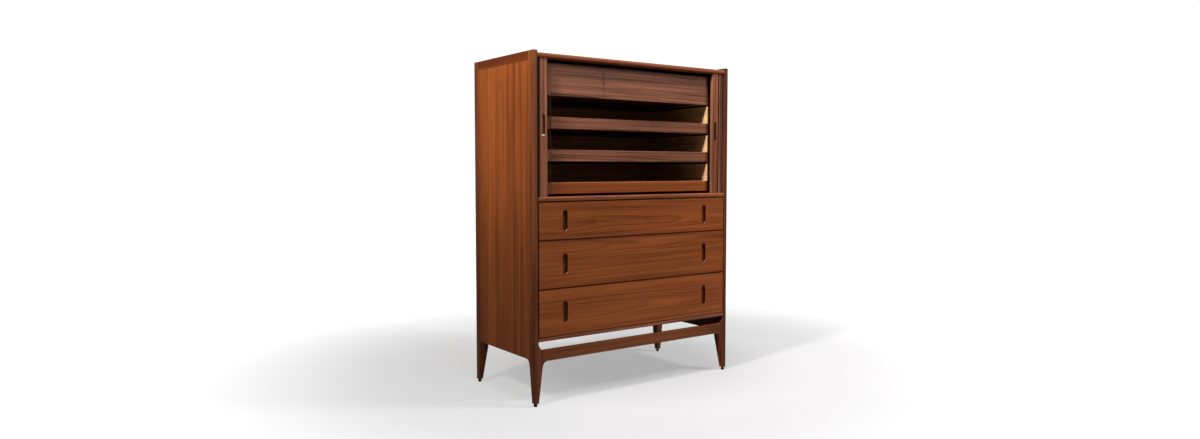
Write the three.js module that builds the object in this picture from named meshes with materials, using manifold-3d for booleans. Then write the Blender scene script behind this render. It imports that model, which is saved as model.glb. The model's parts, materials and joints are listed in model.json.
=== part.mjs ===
// Tambour door chest: a walnut case on four legs. Three wide drawers fill its lower half. Behind
// two sliding tambour doors above them are a shallow inner drawer and three pull-out trays.
// Millimetres, +Z up, +X to the right, the front faces -Y, the origin on the floor under the middle.
import * as THREE from "three";
import { mergeVertices } from "three/addons/utils/BufferGeometryUtils.js";
import Module from "manifold-3d";

// Overall size
const WIDTH = 965;
const DEPTH = 457;
const HEIGHT = 1295;

// Clearances
const GLUE_GAP = 0.3;
const FRONT_GAP = 2.5;
const SIDE_REVEAL = 2;
const SLIDE_GAP = 0.5;
const TRACK_PLAY = 0.5;
const DOOR_CLEARANCE = 2;
const CUT_OVERRUN = 3;

// Sides, legs and glides
const SIDE_THICKNESS = 18;
const STILE_WIDTH = 36;
const LEG_WIDTH = 36;
const FOOT_WIDTH = 19;
const SIDE_UNDERSIDE = 170;
const SIDE_EAR_RADIUS = 22;
const HORN_RISE = 8;
const GLIDE_HEIGHT = 12;
const GLIDE_RADIUS = 7;
const GLIDE_EDGE_RADIUS = 2.5;

// Front stretcher and the slot over it
const STRETCHER_UNDERSIDE = 165;
const STRETCHER_HEIGHT = 40;
const STRETCHER_THICKNESS = 20;
const STRETCHER_EAR_RADIUS = 20;
const SLOT_HEIGHT = 33;
const SLOT_CORNER_RADIUS = 30;

// Case panels
const BOTTOM_THICKNESS = 12.5;
const DIVIDER_THICKNESS = 16;
const TOP_THICKNESS = 17.5;
const TOP_NOSE_RADIUS = 6;
const BACK_THICKNESS = 8;
const PARTITION_THICKNESS = 12;

// Wide drawers, from the floor up
const WIDE_FRONT_HEIGHTS = [174.5, 177, 139];
const WIDE_FRONT_THICKNESS = 19;
const WIDE_SIDE_THICKNESS = 12;
const WIDE_BOX_INSET = 12;
const WIDE_BOTTOM_LIFT = 22;
const WIDE_BOTTOM_THICKNESS = 6;
const WIDE_GROOVE_DEPTH = 5;
const WIDE_BACK_CLEARANCE = 20;

// Recessed finger pulls of the wide drawers
const PULL_WIDTH = 22;
const PULL_HEIGHT = 78;
const PULL_INSET = 114.5;
const PULL_LIP = 3;
const PULL_FLOOR = 9;
const PULL_UNDERCUT = 6;

// Inner drawer and trays behind the doors
const TRAY_COUNT = 3;
const TRAY_SETBACK = 28.5;
const TRAY_FLOOR_GAP = 9.5;
const TRAY_CEILING_GAP = 10;
const TRAY_STACK_GAP = 6.5;
const TRAY_FRONT_HEIGHT = 43;
const TRAY_FRONT_THICKNESS = 16;
const TRAY_SIDE_THICKNESS = 6;
const TRAY_BOTTOM_LIFT = 5;
const TRAY_BOTTOM_THICKNESS = 5;
const TRAY_GROOVE_DEPTH = 2.5;
const TRAY_BACK_CLEARANCE = 15.5;
const INNER_DRAWER_TOP_GAP = 2.5;

// Drawer slides, held on a mounting strip
const SLIDE_THICKNESS = 12.5;
const SLIDE_HEIGHT = 35;
const SLIDE_STRIP_THICKNESS = 2;
const SLIDE_SETBACK = 6;

// Tambour doors in their track
const SLAT_THICKNESS = 12;
const SLAT_PITCH = 24;
const SLAT_CHAMFER = 3.5;
const NOTCH_DEPTH = 5;
const LEAD_WIDTH = 36;
const LEAD_NOSE_RADIUS = 6;
const TRACK_SETBACK = 5.5;
const TRACK_DEPTH = 5;
const POCKET_GAP = 1.5;
const CORNER_CHAMFER = 8.5;
const POCKET_END_GAP = 15.5;

// Finger scoops in the lead slats
const SCOOP_WIDTH = 16;
const SCOOP_HEIGHT = 76;
const SCOOP_DEPTH = 8;
const SCOOP_INSET = 8;
const SCOOP_OFF_CENTRE = 9;

// Places that follow from the sizes above
const HALF_WIDTH = WIDTH / 2;
const FRONT_Y = -DEPTH / 2;
const BACK_Y = DEPTH / 2;
const INNER_X = HALF_WIDTH - SIDE_THICKNESS;
const STRETCHER_TOP = STRETCHER_UNDERSIDE + STRETCHER_HEIGHT;
const BOTTOM_Z = STRETCHER_TOP + SLOT_HEIGHT;
const WIDE_FRONT_BOTTOMS = WIDE_FRONT_HEIGHTS.map((_, level) =>
  WIDE_FRONT_HEIGHTS.slice(0, level).reduce(
    (z, height) => z + height + FRONT_GAP,
    BOTTOM_Z + BOTTOM_THICKNESS + FRONT_GAP,
  ),
);
const DIVIDER_Z = WIDE_FRONT_BOTTOMS.at(-1) + WIDE_FRONT_HEIGHTS.at(-1) + FRONT_GAP;
const DIVIDER_TOP = DIVIDER_Z + DIVIDER_THICKNESS;
const TOP_PANEL_TOP = HEIGHT - HORN_RISE;
const TOP_Z = TOP_PANEL_TOP - TOP_THICKNESS;
const PANEL_BACK_Y = BACK_Y - BACK_THICKNESS;
const TRAY_FRONT_Y = FRONT_Y + TRAY_SETBACK;
const TRAY_PITCH = (TOP_Z - DIVIDER_TOP - TRAY_FLOOR_GAP - TRAY_CEILING_GAP) / (TRAY_COUNT + 1);
const TRAY_SIDE_HEIGHT = TRAY_PITCH - TRAY_STACK_GAP;

const SLAT_FRONT_Y = FRONT_Y + TRACK_SETBACK;
const SLAT_BACK_Y = SLAT_FRONT_Y + SLAT_THICKNESS;
const POCKET_OUTER_X = INNER_X - POCKET_GAP;
const POCKET_INNER_X = POCKET_OUTER_X - SLAT_THICKNESS;
const POCKET_END_Y = PANEL_BACK_Y - POCKET_END_GAP;
const CORNER_X = POCKET_OUTER_X - CORNER_CHAMFER;
const SLAT_BOTTOM_Z = DIVIDER_TOP - TRACK_DEPTH + TRACK_PLAY;
const SLAT_TOP_Z = TOP_Z + TRACK_DEPTH - TRACK_PLAY;
const LEFT_LEAD_X = CORNER_X - GLUE_GAP;
const RIGHT_LEAD_X = CORNER_X + SLAT_CHAMFER - SLAT_PITCH;
const TRAY_BOX_X = RIGHT_LEAD_X - LEAD_WIDTH - DOOR_CLEARANCE;
const PARTITION_X = TRAY_BOX_X + SLIDE_GAP + SLIDE_THICKNESS;

const ARC_STEPS = 8;
const ROUND_STEPS = 24;
const SAME_POINT = 0.001;

const wasm = await Module();
wasm.setup();

const FINISHES = {
  walnut: { color: 0x7d4a2d, roughness: 0.45, metalness: 0 },
  sideWalnut: { color: 0xa8683c, roughness: 0.42, metalness: 0 },
  legWalnut: { color: 0x563222, roughness: 0.5, metalness: 0 },
  maple: { color: 0xe4c695, roughness: 0.55, metalness: 0 },
  plywood: { color: 0x8a6040, roughness: 0.65, metalness: 0 },
  slideSteel: { color: 0x1d1d1f, roughness: 0.4, metalness: 0.8 },
  glidePlastic: { color: 0x141414, roughness: 0.6, metalness: 0 },
};

const chest = new THREE.Group();

// Adds one named piece to a group, at a place in that group.
function addPiece(group, name, finish, geometry, x = 0, y = 0, z = 0) {
  const mesh = new THREE.Mesh(geometry, new THREE.MeshStandardMaterial(FINISHES[finish]));
  mesh.name = name;
  mesh.position.set(x, y, z);
  group.add(mesh);
}

// A squared board that spans the three ranges.
function boardGeometry([x0, x1], [y0, y1], [z0, z1]) {
  return new THREE.BoxGeometry(x1 - x0, y1 - y0, z1 - z0).translate(
    (x0 + x1) / 2,
    (y0 + y1) / 2,
    (z0 + z1) / 2,
  );
}

// Points along an arc, its angles in degrees.
function arcPoints(centreX, centreY, radius, from, to) {
  return Array.from({ length: ARC_STEPS + 1 }, (_, step) => {
    const angle = THREE.MathUtils.degToRad(THREE.MathUtils.lerp(from, to, step / ARC_STEPS));
    return [centreX + radius * Math.cos(angle), centreY + radius * Math.sin(angle)];
  });
}

// An outline's points, less any that repeat the one before, drawn out to a solid along +Z.
function extrudeOutline(points, length) {
  const distinct = points.filter(([x, y], i) => {
    const [lastX, lastY] = points.at(i - 1);
    return Math.hypot(x - lastX, y - lastY) > SAME_POINT;
  });
  const shape = new THREE.Shape(distinct.map(([x, y]) => new THREE.Vector2(x, y)));
  return new THREE.ExtrudeGeometry(shape, { depth: length, bevelEnabled: false });
}

// An outline in x and y that stands from one height to another.
function planBoard(points, z0, z1) {
  return extrudeOutline(points, z1 - z0).translate(0, 0, z0);
}

// An outline in x and z that runs from one depth to another.
function frontBoard(points, y0, y1) {
  return extrudeOutline(points, y1 - y0)
    .rotateX(Math.PI / 2)
    .translate(0, y1, 0);
}

// An outline in y and z that runs from one side to another.
function sideBoard(points, x0, x1) {
  return extrudeOutline(points, x1 - x0)
    .rotateX(Math.PI / 2)
    .rotateZ(Math.PI / 2)
    .translate(x0, 0, 0);
}

function toSolid(geometry) {
  const bare = geometry.clone();
  bare.deleteAttribute("normal");
  bare.deleteAttribute("uv");
  const merged = mergeVertices(bare);
  return new wasm.Manifold(
    new wasm.Mesh({
      numProp: 3,
      vertProperties: merged.attributes.position.array,
      triVerts: merged.index.array,
    }),
  );
}

function toGeometry(solid) {
  const mesh = solid.getMesh();
  const geometry = new THREE.BufferGeometry();
  geometry.setAttribute("position", new THREE.BufferAttribute(mesh.vertProperties, mesh.numProp));
  geometry.setIndex(new THREE.BufferAttribute(mesh.triVerts, 1));
  geometry.computeVertexNormals();
  return geometry;
}

// The geometry with each cutter taken away.
function cutBy(geometry, cutters) {
  return toGeometry(
    cutters.reduce((solid, cutter) => solid.subtract(toSolid(cutter)), toSolid(geometry)),
  );
}

// Leg posts: each is the side's front or back stile down to the slot, then a leg that tapers on its
// two inner faces. Its front view and its side view are cut from one blank.
const SLOT_CURVE = Math.min(SLOT_CORNER_RADIUS, SLOT_HEIGHT);
const LEG_SHOULDER = LEG_WIDTH - SIDE_THICKNESS;
const SLOT_CURVE_CUT = THREE.MathUtils.radToDeg(
  Math.acos(Math.max(0, 1 - LEG_SHOULDER / SLOT_CURVE)),
);

// Points of the slot's lower corner, by their distance in from the side's outer face.
function slotCorner(from, to) {
  return arcPoints(
    SIDE_THICKNESS + SLOT_CURVE,
    STRETCHER_TOP + SLOT_CURVE,
    SLOT_CURVE,
    180 + from,
    180 + to,
  );
}

function legPost(side, end) {
  const frontView = [
    [0, GLIDE_HEIGHT],
    [FOOT_WIDTH, GLIDE_HEIGHT],
    [LEG_WIDTH, STRETCHER_UNDERSIDE - STRETCHER_EAR_RADIUS],
    ...(SLOT_CURVE < LEG_SHOULDER ? [[LEG_WIDTH, STRETCHER_TOP]] : []),
    ...slotCorner(SLOT_CURVE_CUT, 0),
    [SIDE_THICKNESS, HEIGHT],
    [0, HEIGHT],
  ];
  const sideView = [
    [0, GLIDE_HEIGHT],
    [FOOT_WIDTH, GLIDE_HEIGHT],
    [STILE_WIDTH, SIDE_UNDERSIDE - SIDE_EAR_RADIUS],
    [STILE_WIDTH, HEIGHT],
    [0, HEIGHT],
  ];
  const inward = -side;
  const frontCut = frontBoard(
    frontView.map(([u, z]) => [inward * u, z]),
    -STILE_WIDTH - CUT_OVERRUN,
    STILE_WIDTH + CUT_OVERRUN,
  );
  const sideCut = sideBoard(
    sideView.map(([v, z]) => [-end * v, z]),
    -LEG_WIDTH - CUT_OVERRUN,
    LEG_WIDTH + CUT_OVERRUN,
  );
  return toGeometry(toSolid(frontCut).intersect(toSolid(sideCut)));
}

function glide() {
  const flat = GLIDE_RADIUS - GLIDE_EDGE_RADIUS;
  const profile = [
    [0, 0],
    ...arcPoints(flat, GLIDE_EDGE_RADIUS, GLIDE_EDGE_RADIUS, -90, 0),
    [GLIDE_RADIUS, GLIDE_HEIGHT - GLUE_GAP],
    [0, GLIDE_HEIGHT - GLUE_GAP],
  ];
  const points = profile.map(([radius, z]) => new THREE.Vector2(radius, z));
  return new THREE.LatheGeometry(points, ROUND_STEPS).rotateX(Math.PI / 2);
}

const SIDES = [
  { side: -1, hand: "left" },
  { side: 1, hand: "right" },
];
const ENDS = [
  { end: -1, place: "front" },
  { end: 1, place: "back" },
];

for (const { side, hand } of SIDES) {
  for (const { end, place } of ENDS) {
    const cornerX = side * HALF_WIDTH;
    const cornerY = (end * DEPTH) / 2;
    addPiece(chest, `${place}_${hand}_leg`, "legWalnut", legPost(side, end), cornerX, cornerY);
    addPiece(
      chest,
      `${place}_${hand}_glide`,
      "glidePlastic",
      glide(),
      cornerX - (side * FOOT_WIDTH) / 2,
      cornerY - (end * FOOT_WIDTH) / 2,
    );
  }
}

// Side panels, between the stiles, with an ear that curves down to the front leg
const PANEL_HALF_DEPTH = DEPTH / 2 - STILE_WIDTH - GLUE_GAP;

function sidePanel(side) {
  const outline = [
    [-PANEL_HALF_DEPTH, HEIGHT],
    [-PANEL_HALF_DEPTH, SIDE_UNDERSIDE - SIDE_EAR_RADIUS],
    ...arcPoints(
      SIDE_EAR_RADIUS - PANEL_HALF_DEPTH,
      SIDE_UNDERSIDE - SIDE_EAR_RADIUS,
      SIDE_EAR_RADIUS,
      180,
      90,
    ).slice(1),
    [PANEL_HALF_DEPTH, SIDE_UNDERSIDE],
    [PANEL_HALF_DEPTH, HEIGHT],
  ];
  const faces = [side * HALF_WIDTH, side * INNER_X];
  return sideBoard(outline, Math.min(...faces), Math.max(...faces));
}

for (const { side, hand } of SIDES) {
  addPiece(chest, `${hand}_side_panel`, "sideWalnut", sidePanel(side));
}

// Front stretcher, with ears under its ends
function stretcher() {
  const end = HALF_WIDTH - LEG_WIDTH - GLUE_GAP;
  const ear = arcPoints(
    end - STRETCHER_EAR_RADIUS,
    STRETCHER_UNDERSIDE - STRETCHER_EAR_RADIUS,
    STRETCHER_EAR_RADIUS,
    90,
    0,
  );
  const slotEnd = slotCorner(SLOT_CURVE_CUT, 90).map(([u, z]) => [
    Math.min(HALF_WIDTH - u, end),
    z,
  ]);
  const right = [...ear, ...(SLOT_CURVE < LEG_SHOULDER ? [[end, STRETCHER_TOP]] : slotEnd)];
  const left = right.map(([x, z]) => [-x, z]).reverse();
  return frontBoard([...right, ...left], FRONT_Y, FRONT_Y + STRETCHER_THICKNESS);
}

addPiece(chest, "front_stretcher", "legWalnut", stretcher());

// Case panels. The tambour track is a groove in the divider's top and in the top panel's underside:
// along the front, round each corner and back along the sides, whose inner faces close it.
const CASE_SPAN = [GLUE_GAP - INNER_X, INNER_X - GLUE_GAP];
const PANEL_DEPTHS = [FRONT_Y, PANEL_BACK_Y - GLUE_GAP];

function trackCutters(z0, z1) {
  const frontRun = boardGeometry(
    [-INNER_X - CUT_OVERRUN, INNER_X + CUT_OVERRUN],
    [SLAT_FRONT_Y - TRACK_PLAY, SLAT_BACK_Y + TRACK_PLAY],
    [z0, z1],
  );
  const sideRuns = SIDES.map(({ side }) => {
    const faces = [side * (POCKET_INNER_X - TRACK_PLAY), side * (INNER_X + CUT_OVERRUN)];
    return boardGeometry(
      [Math.min(...faces), Math.max(...faces)],
      [SLAT_BACK_Y, POCKET_END_Y + TRACK_PLAY],
      [z0, z1],
    );
  });
  return [frontRun, ...sideRuns];
}

addPiece(
  chest,
  "bottom_panel",
  "walnut",
  boardGeometry(CASE_SPAN, PANEL_DEPTHS, [BOTTOM_Z, BOTTOM_Z + BOTTOM_THICKNESS]),
);

addPiece(
  chest,
  "divider_panel",
  "walnut",
  cutBy(
    boardGeometry(CASE_SPAN, PANEL_DEPTHS, [DIVIDER_Z, DIVIDER_TOP]),
    trackCutters(DIVIDER_TOP - TRACK_DEPTH, DIVIDER_TOP + CUT_OVERRUN),
  ),
);

function topPanel() {
  const nose = Math.min(TOP_NOSE_RADIUS, TOP_THICKNESS / 2);
  const section = [
    [PANEL_DEPTHS[1], TOP_Z],
    [PANEL_DEPTHS[1], TOP_PANEL_TOP],
    ...arcPoints(FRONT_Y + nose, TOP_PANEL_TOP - nose, nose, 90, 180),
    ...arcPoints(FRONT_Y + nose, TOP_Z + nose, nose, 180, 270),
  ];
  return cutBy(
    sideBoard(section, ...CASE_SPAN),
    trackCutters(TOP_Z - CUT_OVERRUN, TOP_Z + TRACK_DEPTH),
  );
}

addPiece(chest, "top_panel", "walnut", topPanel());

addPiece(
  chest,
  "back_panel",
  "plywood",
  boardGeometry(CASE_SPAN, [PANEL_BACK_Y, BACK_Y], [BOTTOM_Z, TOP_PANEL_TOP]),
);

for (const { side, hand } of SIDES) {
  const faces = [side * PARTITION_X, side * (PARTITION_X + PARTITION_THICKNESS)];
  addPiece(
    chest,
    `${hand}_partition`,
    "walnut",
    boardGeometry(
      [Math.min(...faces), Math.max(...faces)],
      [TRAY_FRONT_Y, PANEL_DEPTHS[1]],
      [DIVIDER_TOP + GLUE_GAP, TOP_Z - GLUE_GAP],
    ),
  );
}

// Drawers and trays. Each is a front, two grooved sides, a bottom held in the grooves, and a back
// that stands on the bottom.
const WIDE_BOX = {
  outerX: INNER_X - SLIDE_THICKNESS - SLIDE_GAP,
  frontHalf: INNER_X - SIDE_REVEAL,
  frontThickness: WIDE_FRONT_THICKNESS,
  sideStart: WIDE_FRONT_THICKNESS + GLUE_GAP,
  sideThickness: WIDE_SIDE_THICKNESS,
  bottomLift: WIDE_BOTTOM_LIFT,
  bottomThickness: WIDE_BOTTOM_THICKNESS,
  grooveDepth: WIDE_GROOVE_DEPTH,
  length: PANEL_BACK_Y - WIDE_BACK_CLEARANCE - FRONT_Y,
};

const TRAY_BOX = {
  outerX: TRAY_BOX_X,
  frontHalf: TRAY_BOX_X - TRAY_SIDE_THICKNESS - GLUE_GAP,
  frontThickness: TRAY_FRONT_THICKNESS,
  sideStart: 0,
  sideThickness: TRAY_SIDE_THICKNESS,
  bottomLift: TRAY_BOTTOM_LIFT,
  bottomThickness: TRAY_BOTTOM_THICKNESS,
  grooveDepth: TRAY_GROOVE_DEPTH,
  length: PANEL_BACK_Y - TRAY_BACK_CLEARANCE - TRAY_FRONT_Y,
};

function boxSide(side, box, sideBottom, sideTop) {
  const innerX = box.outerX - box.sideThickness;
  const grooveX = innerX + box.grooveDepth;
  const grooveBottom = box.bottomLift - GLUE_GAP;
  const grooveTop = box.bottomLift + box.bottomThickness + GLUE_GAP;
  const section = [
    [box.outerX, sideBottom],
    [box.outerX, sideTop],
    [innerX, sideTop],
    [innerX, grooveTop],
    [grooveX, grooveTop],
    [grooveX, grooveBottom],
    [innerX, grooveBottom],
    [innerX, sideBottom],
  ];
  return frontBoard(
    section.map(([x, z]) => [side * x, z]),
    box.sideStart,
    box.length,
  );
}

// Adds the five pieces of one drawer or tray, in a group whose origin is under its front's face.
function addDrawer(name, box, placeY, placeZ, frontGeometry, sideBottom, sideTop) {
  const group = new THREE.Group();
  group.position.set(0, placeY, placeZ);
  chest.add(group);
  const innerX = box.outerX - box.sideThickness;
  const bottomX = innerX + box.grooveDepth - GLUE_GAP;
  const backX = innerX - GLUE_GAP;
  addPiece(group, `${name}_front`, "walnut", frontGeometry);
  for (const { side, hand } of SIDES) {
    addPiece(group, `${name}_${hand}_side`, "maple", boxSide(side, box, sideBottom, sideTop));
  }
  addPiece(
    group,
    `${name}_back`,
    "maple",
    boardGeometry(
      [-backX, backX],
      [box.length - box.sideThickness, box.length],
      [box.bottomLift + box.bottomThickness + GLUE_GAP, sideTop],
    ),
  );
  addPiece(
    group,
    `${name}_bottom`,
    "plywood",
    boardGeometry(
      [-bottomX, bottomX],
      [box.frontThickness + GLUE_GAP, box.length],
      [box.bottomLift, box.bottomLift + box.bottomThickness],
    ),
  );
}

// An upright slot with half-round ends.
function roundEndedSlot(centreX, centreZ, width, height) {
  const radius = width / 2;
  const rise = height / 2 - radius;
  return [
    ...arcPoints(centreX, centreZ + rise, radius, 0, 180),
    ...arcPoints(centreX, centreZ - rise, radius, 180, 360),
  ];
}

// The mouth of a recessed pull and the wider finger room behind its lip.
function pullCutters(centreX, centreZ) {
  const grow = 2 * PULL_UNDERCUT;
  const mouth = roundEndedSlot(centreX, centreZ, PULL_WIDTH, PULL_HEIGHT);
  const room = roundEndedSlot(centreX, centreZ, PULL_WIDTH + grow, PULL_HEIGHT + grow);
  const roomEnd = WIDE_FRONT_THICKNESS - PULL_FLOOR;
  return [frontBoard(mouth, -CUT_OVERRUN, roomEnd), frontBoard(room, PULL_LIP, roomEnd)];
}

["lower", "middle", "upper"].forEach((level, i) => {
  const height = WIDE_FRONT_HEIGHTS[i];
  const front = boardGeometry(
    [-WIDE_BOX.frontHalf, WIDE_BOX.frontHalf],
    [0, WIDE_FRONT_THICKNESS],
    [0, height],
  );
  const pulls = SIDES.flatMap(({ side }) =>
    pullCutters(side * (WIDE_BOX.frontHalf - PULL_INSET), height / 2),
  );
  addDrawer(
    `${level}_drawer`,
    WIDE_BOX,
    FRONT_Y,
    WIDE_FRONT_BOTTOMS[i],
    cutBy(front, pulls),
    WIDE_BOX_INSET,
    height - WIDE_BOX_INSET,
  );
});

function trayBottomZ(level) {
  return DIVIDER_TOP + TRAY_FLOOR_GAP + level * TRAY_PITCH;
}

function trayFront(height) {
  return boardGeometry(
    [-TRAY_BOX.frontHalf, TRAY_BOX.frontHalf],
    [0, TRAY_FRONT_THICKNESS],
    [0, height],
  );
}

["lower", "middle", "upper"].forEach((level, i) => {
  addDrawer(
    `${level}_tray`,
    TRAY_BOX,
    TRAY_FRONT_Y,
    trayBottomZ(i),
    trayFront(TRAY_FRONT_HEIGHT),
    0,
    TRAY_SIDE_HEIGHT,
  );
});

const INNER_DRAWER_HEIGHT = TRAY_PITCH - INNER_DRAWER_TOP_GAP;
addDrawer(
  "inner_drawer",
  TRAY_BOX,
  TRAY_FRONT_Y,
  trayBottomZ(TRAY_COUNT),
  trayFront(INNER_DRAWER_HEIGHT),
  0,
  INNER_DRAWER_HEIGHT,
);

// Slides: one strip to a side of each stack, with a slide at the middle height of every box
function slideRack(side, wallX, centres) {
  const backX = wallX - GLUE_GAP;
  const stripX = wallX - SLIDE_STRIP_THICKNESS;
  const faceX = wallX - SLIDE_THICKNESS;
  const comb = centres.flatMap((z, i) => [
    ...(i > 0 ? [[stripX, z - SLIDE_HEIGHT / 2]] : []),
    [faceX, z - SLIDE_HEIGHT / 2],
    [faceX, z + SLIDE_HEIGHT / 2],
    ...(i < centres.length - 1 ? [[stripX, z + SLIDE_HEIGHT / 2]] : []),
  ]);
  return [
    ...comb,
    [backX, centres.at(-1) + SLIDE_HEIGHT / 2],
    [backX, centres[0] - SLIDE_HEIGHT / 2],
  ].map(([x, z]) => [side * x, z]);
}

const WIDE_SLIDE_CENTRES = WIDE_FRONT_BOTTOMS.map((z, i) => z + WIDE_FRONT_HEIGHTS[i] / 2);
const TRAY_SLIDE_CENTRES = Array.from(
  { length: TRAY_COUNT + 1 },
  (_, level) => trayBottomZ(level) + TRAY_SIDE_HEIGHT / 2,
);

for (const { side, hand } of SIDES) {
  addPiece(
    chest,
    `${hand}_drawer_slides`,
    "slideSteel",
    frontBoard(
      slideRack(side, INNER_X, WIDE_SLIDE_CENTRES),
      FRONT_Y + WIDE_FRONT_THICKNESS + SLIDE_SETBACK,
      PANEL_BACK_Y - WIDE_BACK_CLEARANCE,
    ),
  );
  addPiece(
    chest,
    `${hand}_tray_slides`,
    "slideSteel",
    frontBoard(
      slideRack(side, PARTITION_X, TRAY_SLIDE_CENTRES),
      TRAY_FRONT_Y + SLIDE_SETBACK,
      PANEL_BACK_Y - TRAY_BACK_CLEARANCE,
    ),
  );
}

// Lead slats, each with a round closing edge and a finger scoop that deepens towards that edge
function leadSlat(side, outerX) {
  const closingX = outerX - LEAD_WIDTH;
  const plan = [
    [closingX, SLAT_BACK_Y],
    ...arcPoints(
      closingX + LEAD_NOSE_RADIUS,
      SLAT_FRONT_Y + LEAD_NOSE_RADIUS,
      LEAD_NOSE_RADIUS,
      180,
      270,
    ),
    [outerX - SLAT_CHAMFER, SLAT_FRONT_Y],
    [outerX, SLAT_FRONT_Y + SLAT_CHAMFER],
    [outerX, SLAT_BACK_Y],
  ];
  const scoopX = outerX - SCOOP_INSET;
  const scoopSlope = SCOOP_DEPTH / SCOOP_WIDTH;
  const scoop = [
    [scoopX + CUT_OVERRUN, SLAT_FRONT_Y - CUT_OVERRUN * scoopSlope],
    [scoopX - SCOOP_WIDTH, SLAT_FRONT_Y + SCOOP_DEPTH],
    [scoopX - SCOOP_WIDTH, SLAT_FRONT_Y - CUT_OVERRUN * scoopSlope],
  ];
  const scoopZ = (SLAT_BOTTOM_Z + SLAT_TOP_Z) / 2 + SCOOP_OFF_CENTRE;
  const mirror = (points) => points.map(([x, y]) => [side * x, y]);
  return cutBy(planBoard(mirror(plan), SLAT_BOTTOM_Z, SLAT_TOP_Z), [
    planBoard(mirror(scoop), scoopZ - SCOOP_HEIGHT / 2, scoopZ + SCOOP_HEIGHT / 2),
  ]);
}

// The rest of a tambour: slats on a canvas, round the corner and back along the pocket. The left one
// starts at the corner, and the right one with one slat more along the front.
function curtain(side, startX) {
  const behindLead = startX > POCKET_INNER_X;
  const backY = behindLead ? SLAT_BACK_Y + GLUE_GAP : SLAT_BACK_Y;
  const start = behindLead
    ? [[startX, SLAT_FRONT_Y]]
    : [
        [startX, SLAT_FRONT_Y + SLAT_CHAMFER],
        [startX + SLAT_CHAMFER, SLAT_FRONT_Y],
        [CORNER_X, SLAT_FRONT_Y],
      ];
  const cornerY = SLAT_FRONT_Y + CORNER_CHAMFER;
  const slatCount = Math.floor((POCKET_END_Y - cornerY) / SLAT_PITCH);
  const notches = Array.from({ length: slatCount }, (_, i) => {
    const y = POCKET_END_Y - (slatCount - i) * SLAT_PITCH;
    return [
      [POCKET_OUTER_X, y - SLAT_CHAMFER],
      [POCKET_OUTER_X - NOTCH_DEPTH, y],
      [POCKET_OUTER_X, y + SLAT_CHAMFER],
    ];
  }).filter(([[, y]]) => y > cornerY);
  const plan = [
    ...start,
    [POCKET_OUTER_X, cornerY],
    ...notches.flat(),
    [POCKET_OUTER_X, POCKET_END_Y],
    [POCKET_INNER_X, POCKET_END_Y],
    [POCKET_INNER_X, backY],
    [startX, backY],
  ];
  return planBoard(
    plan.map(([x, y]) => [side * x, y]),
    SLAT_BOTTOM_Z,
    SLAT_TOP_Z,
  );
}

addPiece(chest, "left_lead_slat", "walnut", leadSlat(-1, LEFT_LEAD_X));
addPiece(chest, "right_lead_slat", "walnut", leadSlat(1, RIGHT_LEAD_X));
addPiece(chest, "left_tambour_curtain", "walnut", curtain(-1, CORNER_X));
addPiece(chest, "right_tambour_curtain", "walnut", curtain(1, RIGHT_LEAD_X + GLUE_GAP));

export default chest;
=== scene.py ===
"""Dresses the tambour door chest's CAD frame: wood, slides, tambours, stage and camera."""

import json
import math
import random

import bmesh
import bpy
import numpy as np
from bpy.props import FloatProperty, FloatVectorProperty, IntProperty, PointerProperty
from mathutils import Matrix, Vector


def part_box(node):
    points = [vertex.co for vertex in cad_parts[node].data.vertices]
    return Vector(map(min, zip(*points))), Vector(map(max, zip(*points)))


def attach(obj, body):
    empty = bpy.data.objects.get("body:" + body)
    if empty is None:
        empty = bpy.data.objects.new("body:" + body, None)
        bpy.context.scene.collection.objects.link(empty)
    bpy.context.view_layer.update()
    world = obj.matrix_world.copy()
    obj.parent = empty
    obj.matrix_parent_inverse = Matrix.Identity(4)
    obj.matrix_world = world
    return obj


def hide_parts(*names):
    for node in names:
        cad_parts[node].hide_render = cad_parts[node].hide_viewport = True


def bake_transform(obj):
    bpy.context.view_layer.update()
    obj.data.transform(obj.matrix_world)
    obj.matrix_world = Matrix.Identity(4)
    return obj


bl_info = {
    "name": "Tambour door chest",
    "version": (1, 0, 0),
    "blender": (4, 5, 0),
    "location": "3D View > Sidebar > Chest",
    "description": "Builds the looks of a tambour door chest around its CAD frame",
    "category": "Object",
}

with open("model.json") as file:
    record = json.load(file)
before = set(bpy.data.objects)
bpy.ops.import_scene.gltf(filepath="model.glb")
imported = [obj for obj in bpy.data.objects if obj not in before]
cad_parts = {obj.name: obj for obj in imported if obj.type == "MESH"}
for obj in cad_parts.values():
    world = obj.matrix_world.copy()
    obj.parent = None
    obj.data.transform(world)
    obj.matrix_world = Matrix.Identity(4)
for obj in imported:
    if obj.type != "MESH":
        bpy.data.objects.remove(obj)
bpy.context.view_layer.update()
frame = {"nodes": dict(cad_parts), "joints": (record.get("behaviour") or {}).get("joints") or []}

LEVELS = ("lower", "middle", "upper")
HANDS = ("left", "right")
SIGN = {"left": -1, "right": 1}

WIDE_DRAWERS = tuple(f"{level}_drawer" for level in LEVELS)

HAIR = 0.0001  # Gap between two parts that touch.
NEAR, CLOSE = 0.0005, 0.001  # Two places that are closer than this count as one.
SLAT_GAP = 0.0003  # Gap between two slats of a tambour.
SCREW_SEAT = 0.0004  # How deep a screw's head sits in its board.

# How dark the painted shade makes a face: in gaps, hollows, under boards and on faces turned away.
# Below 0 it is a painted glint instead.
BLACK, GAP_SIDE, HIDDEN, UNDERSIDE, PULL_FLOOR, PAINTED_GLINT = 1, 0.95, 0.85, 0.8, 0.2, -1

# Profiles of a glide and of a screw's head, in shares of its radius and its height.
GLIDE = ((0, 0), (0.8, 0), (0.95, 0.1), (1, 0.25), (1, 0.5))
GLIDE += ((0.9, 0.62), (0.85, 0.68), (0.85, 1), (0, 1))
SCREW = ((1, 0.3), (0.8, 0.8), (0.45, 1), (0.4, 1), (0.3, 0.2), (0, 0.2))

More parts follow.
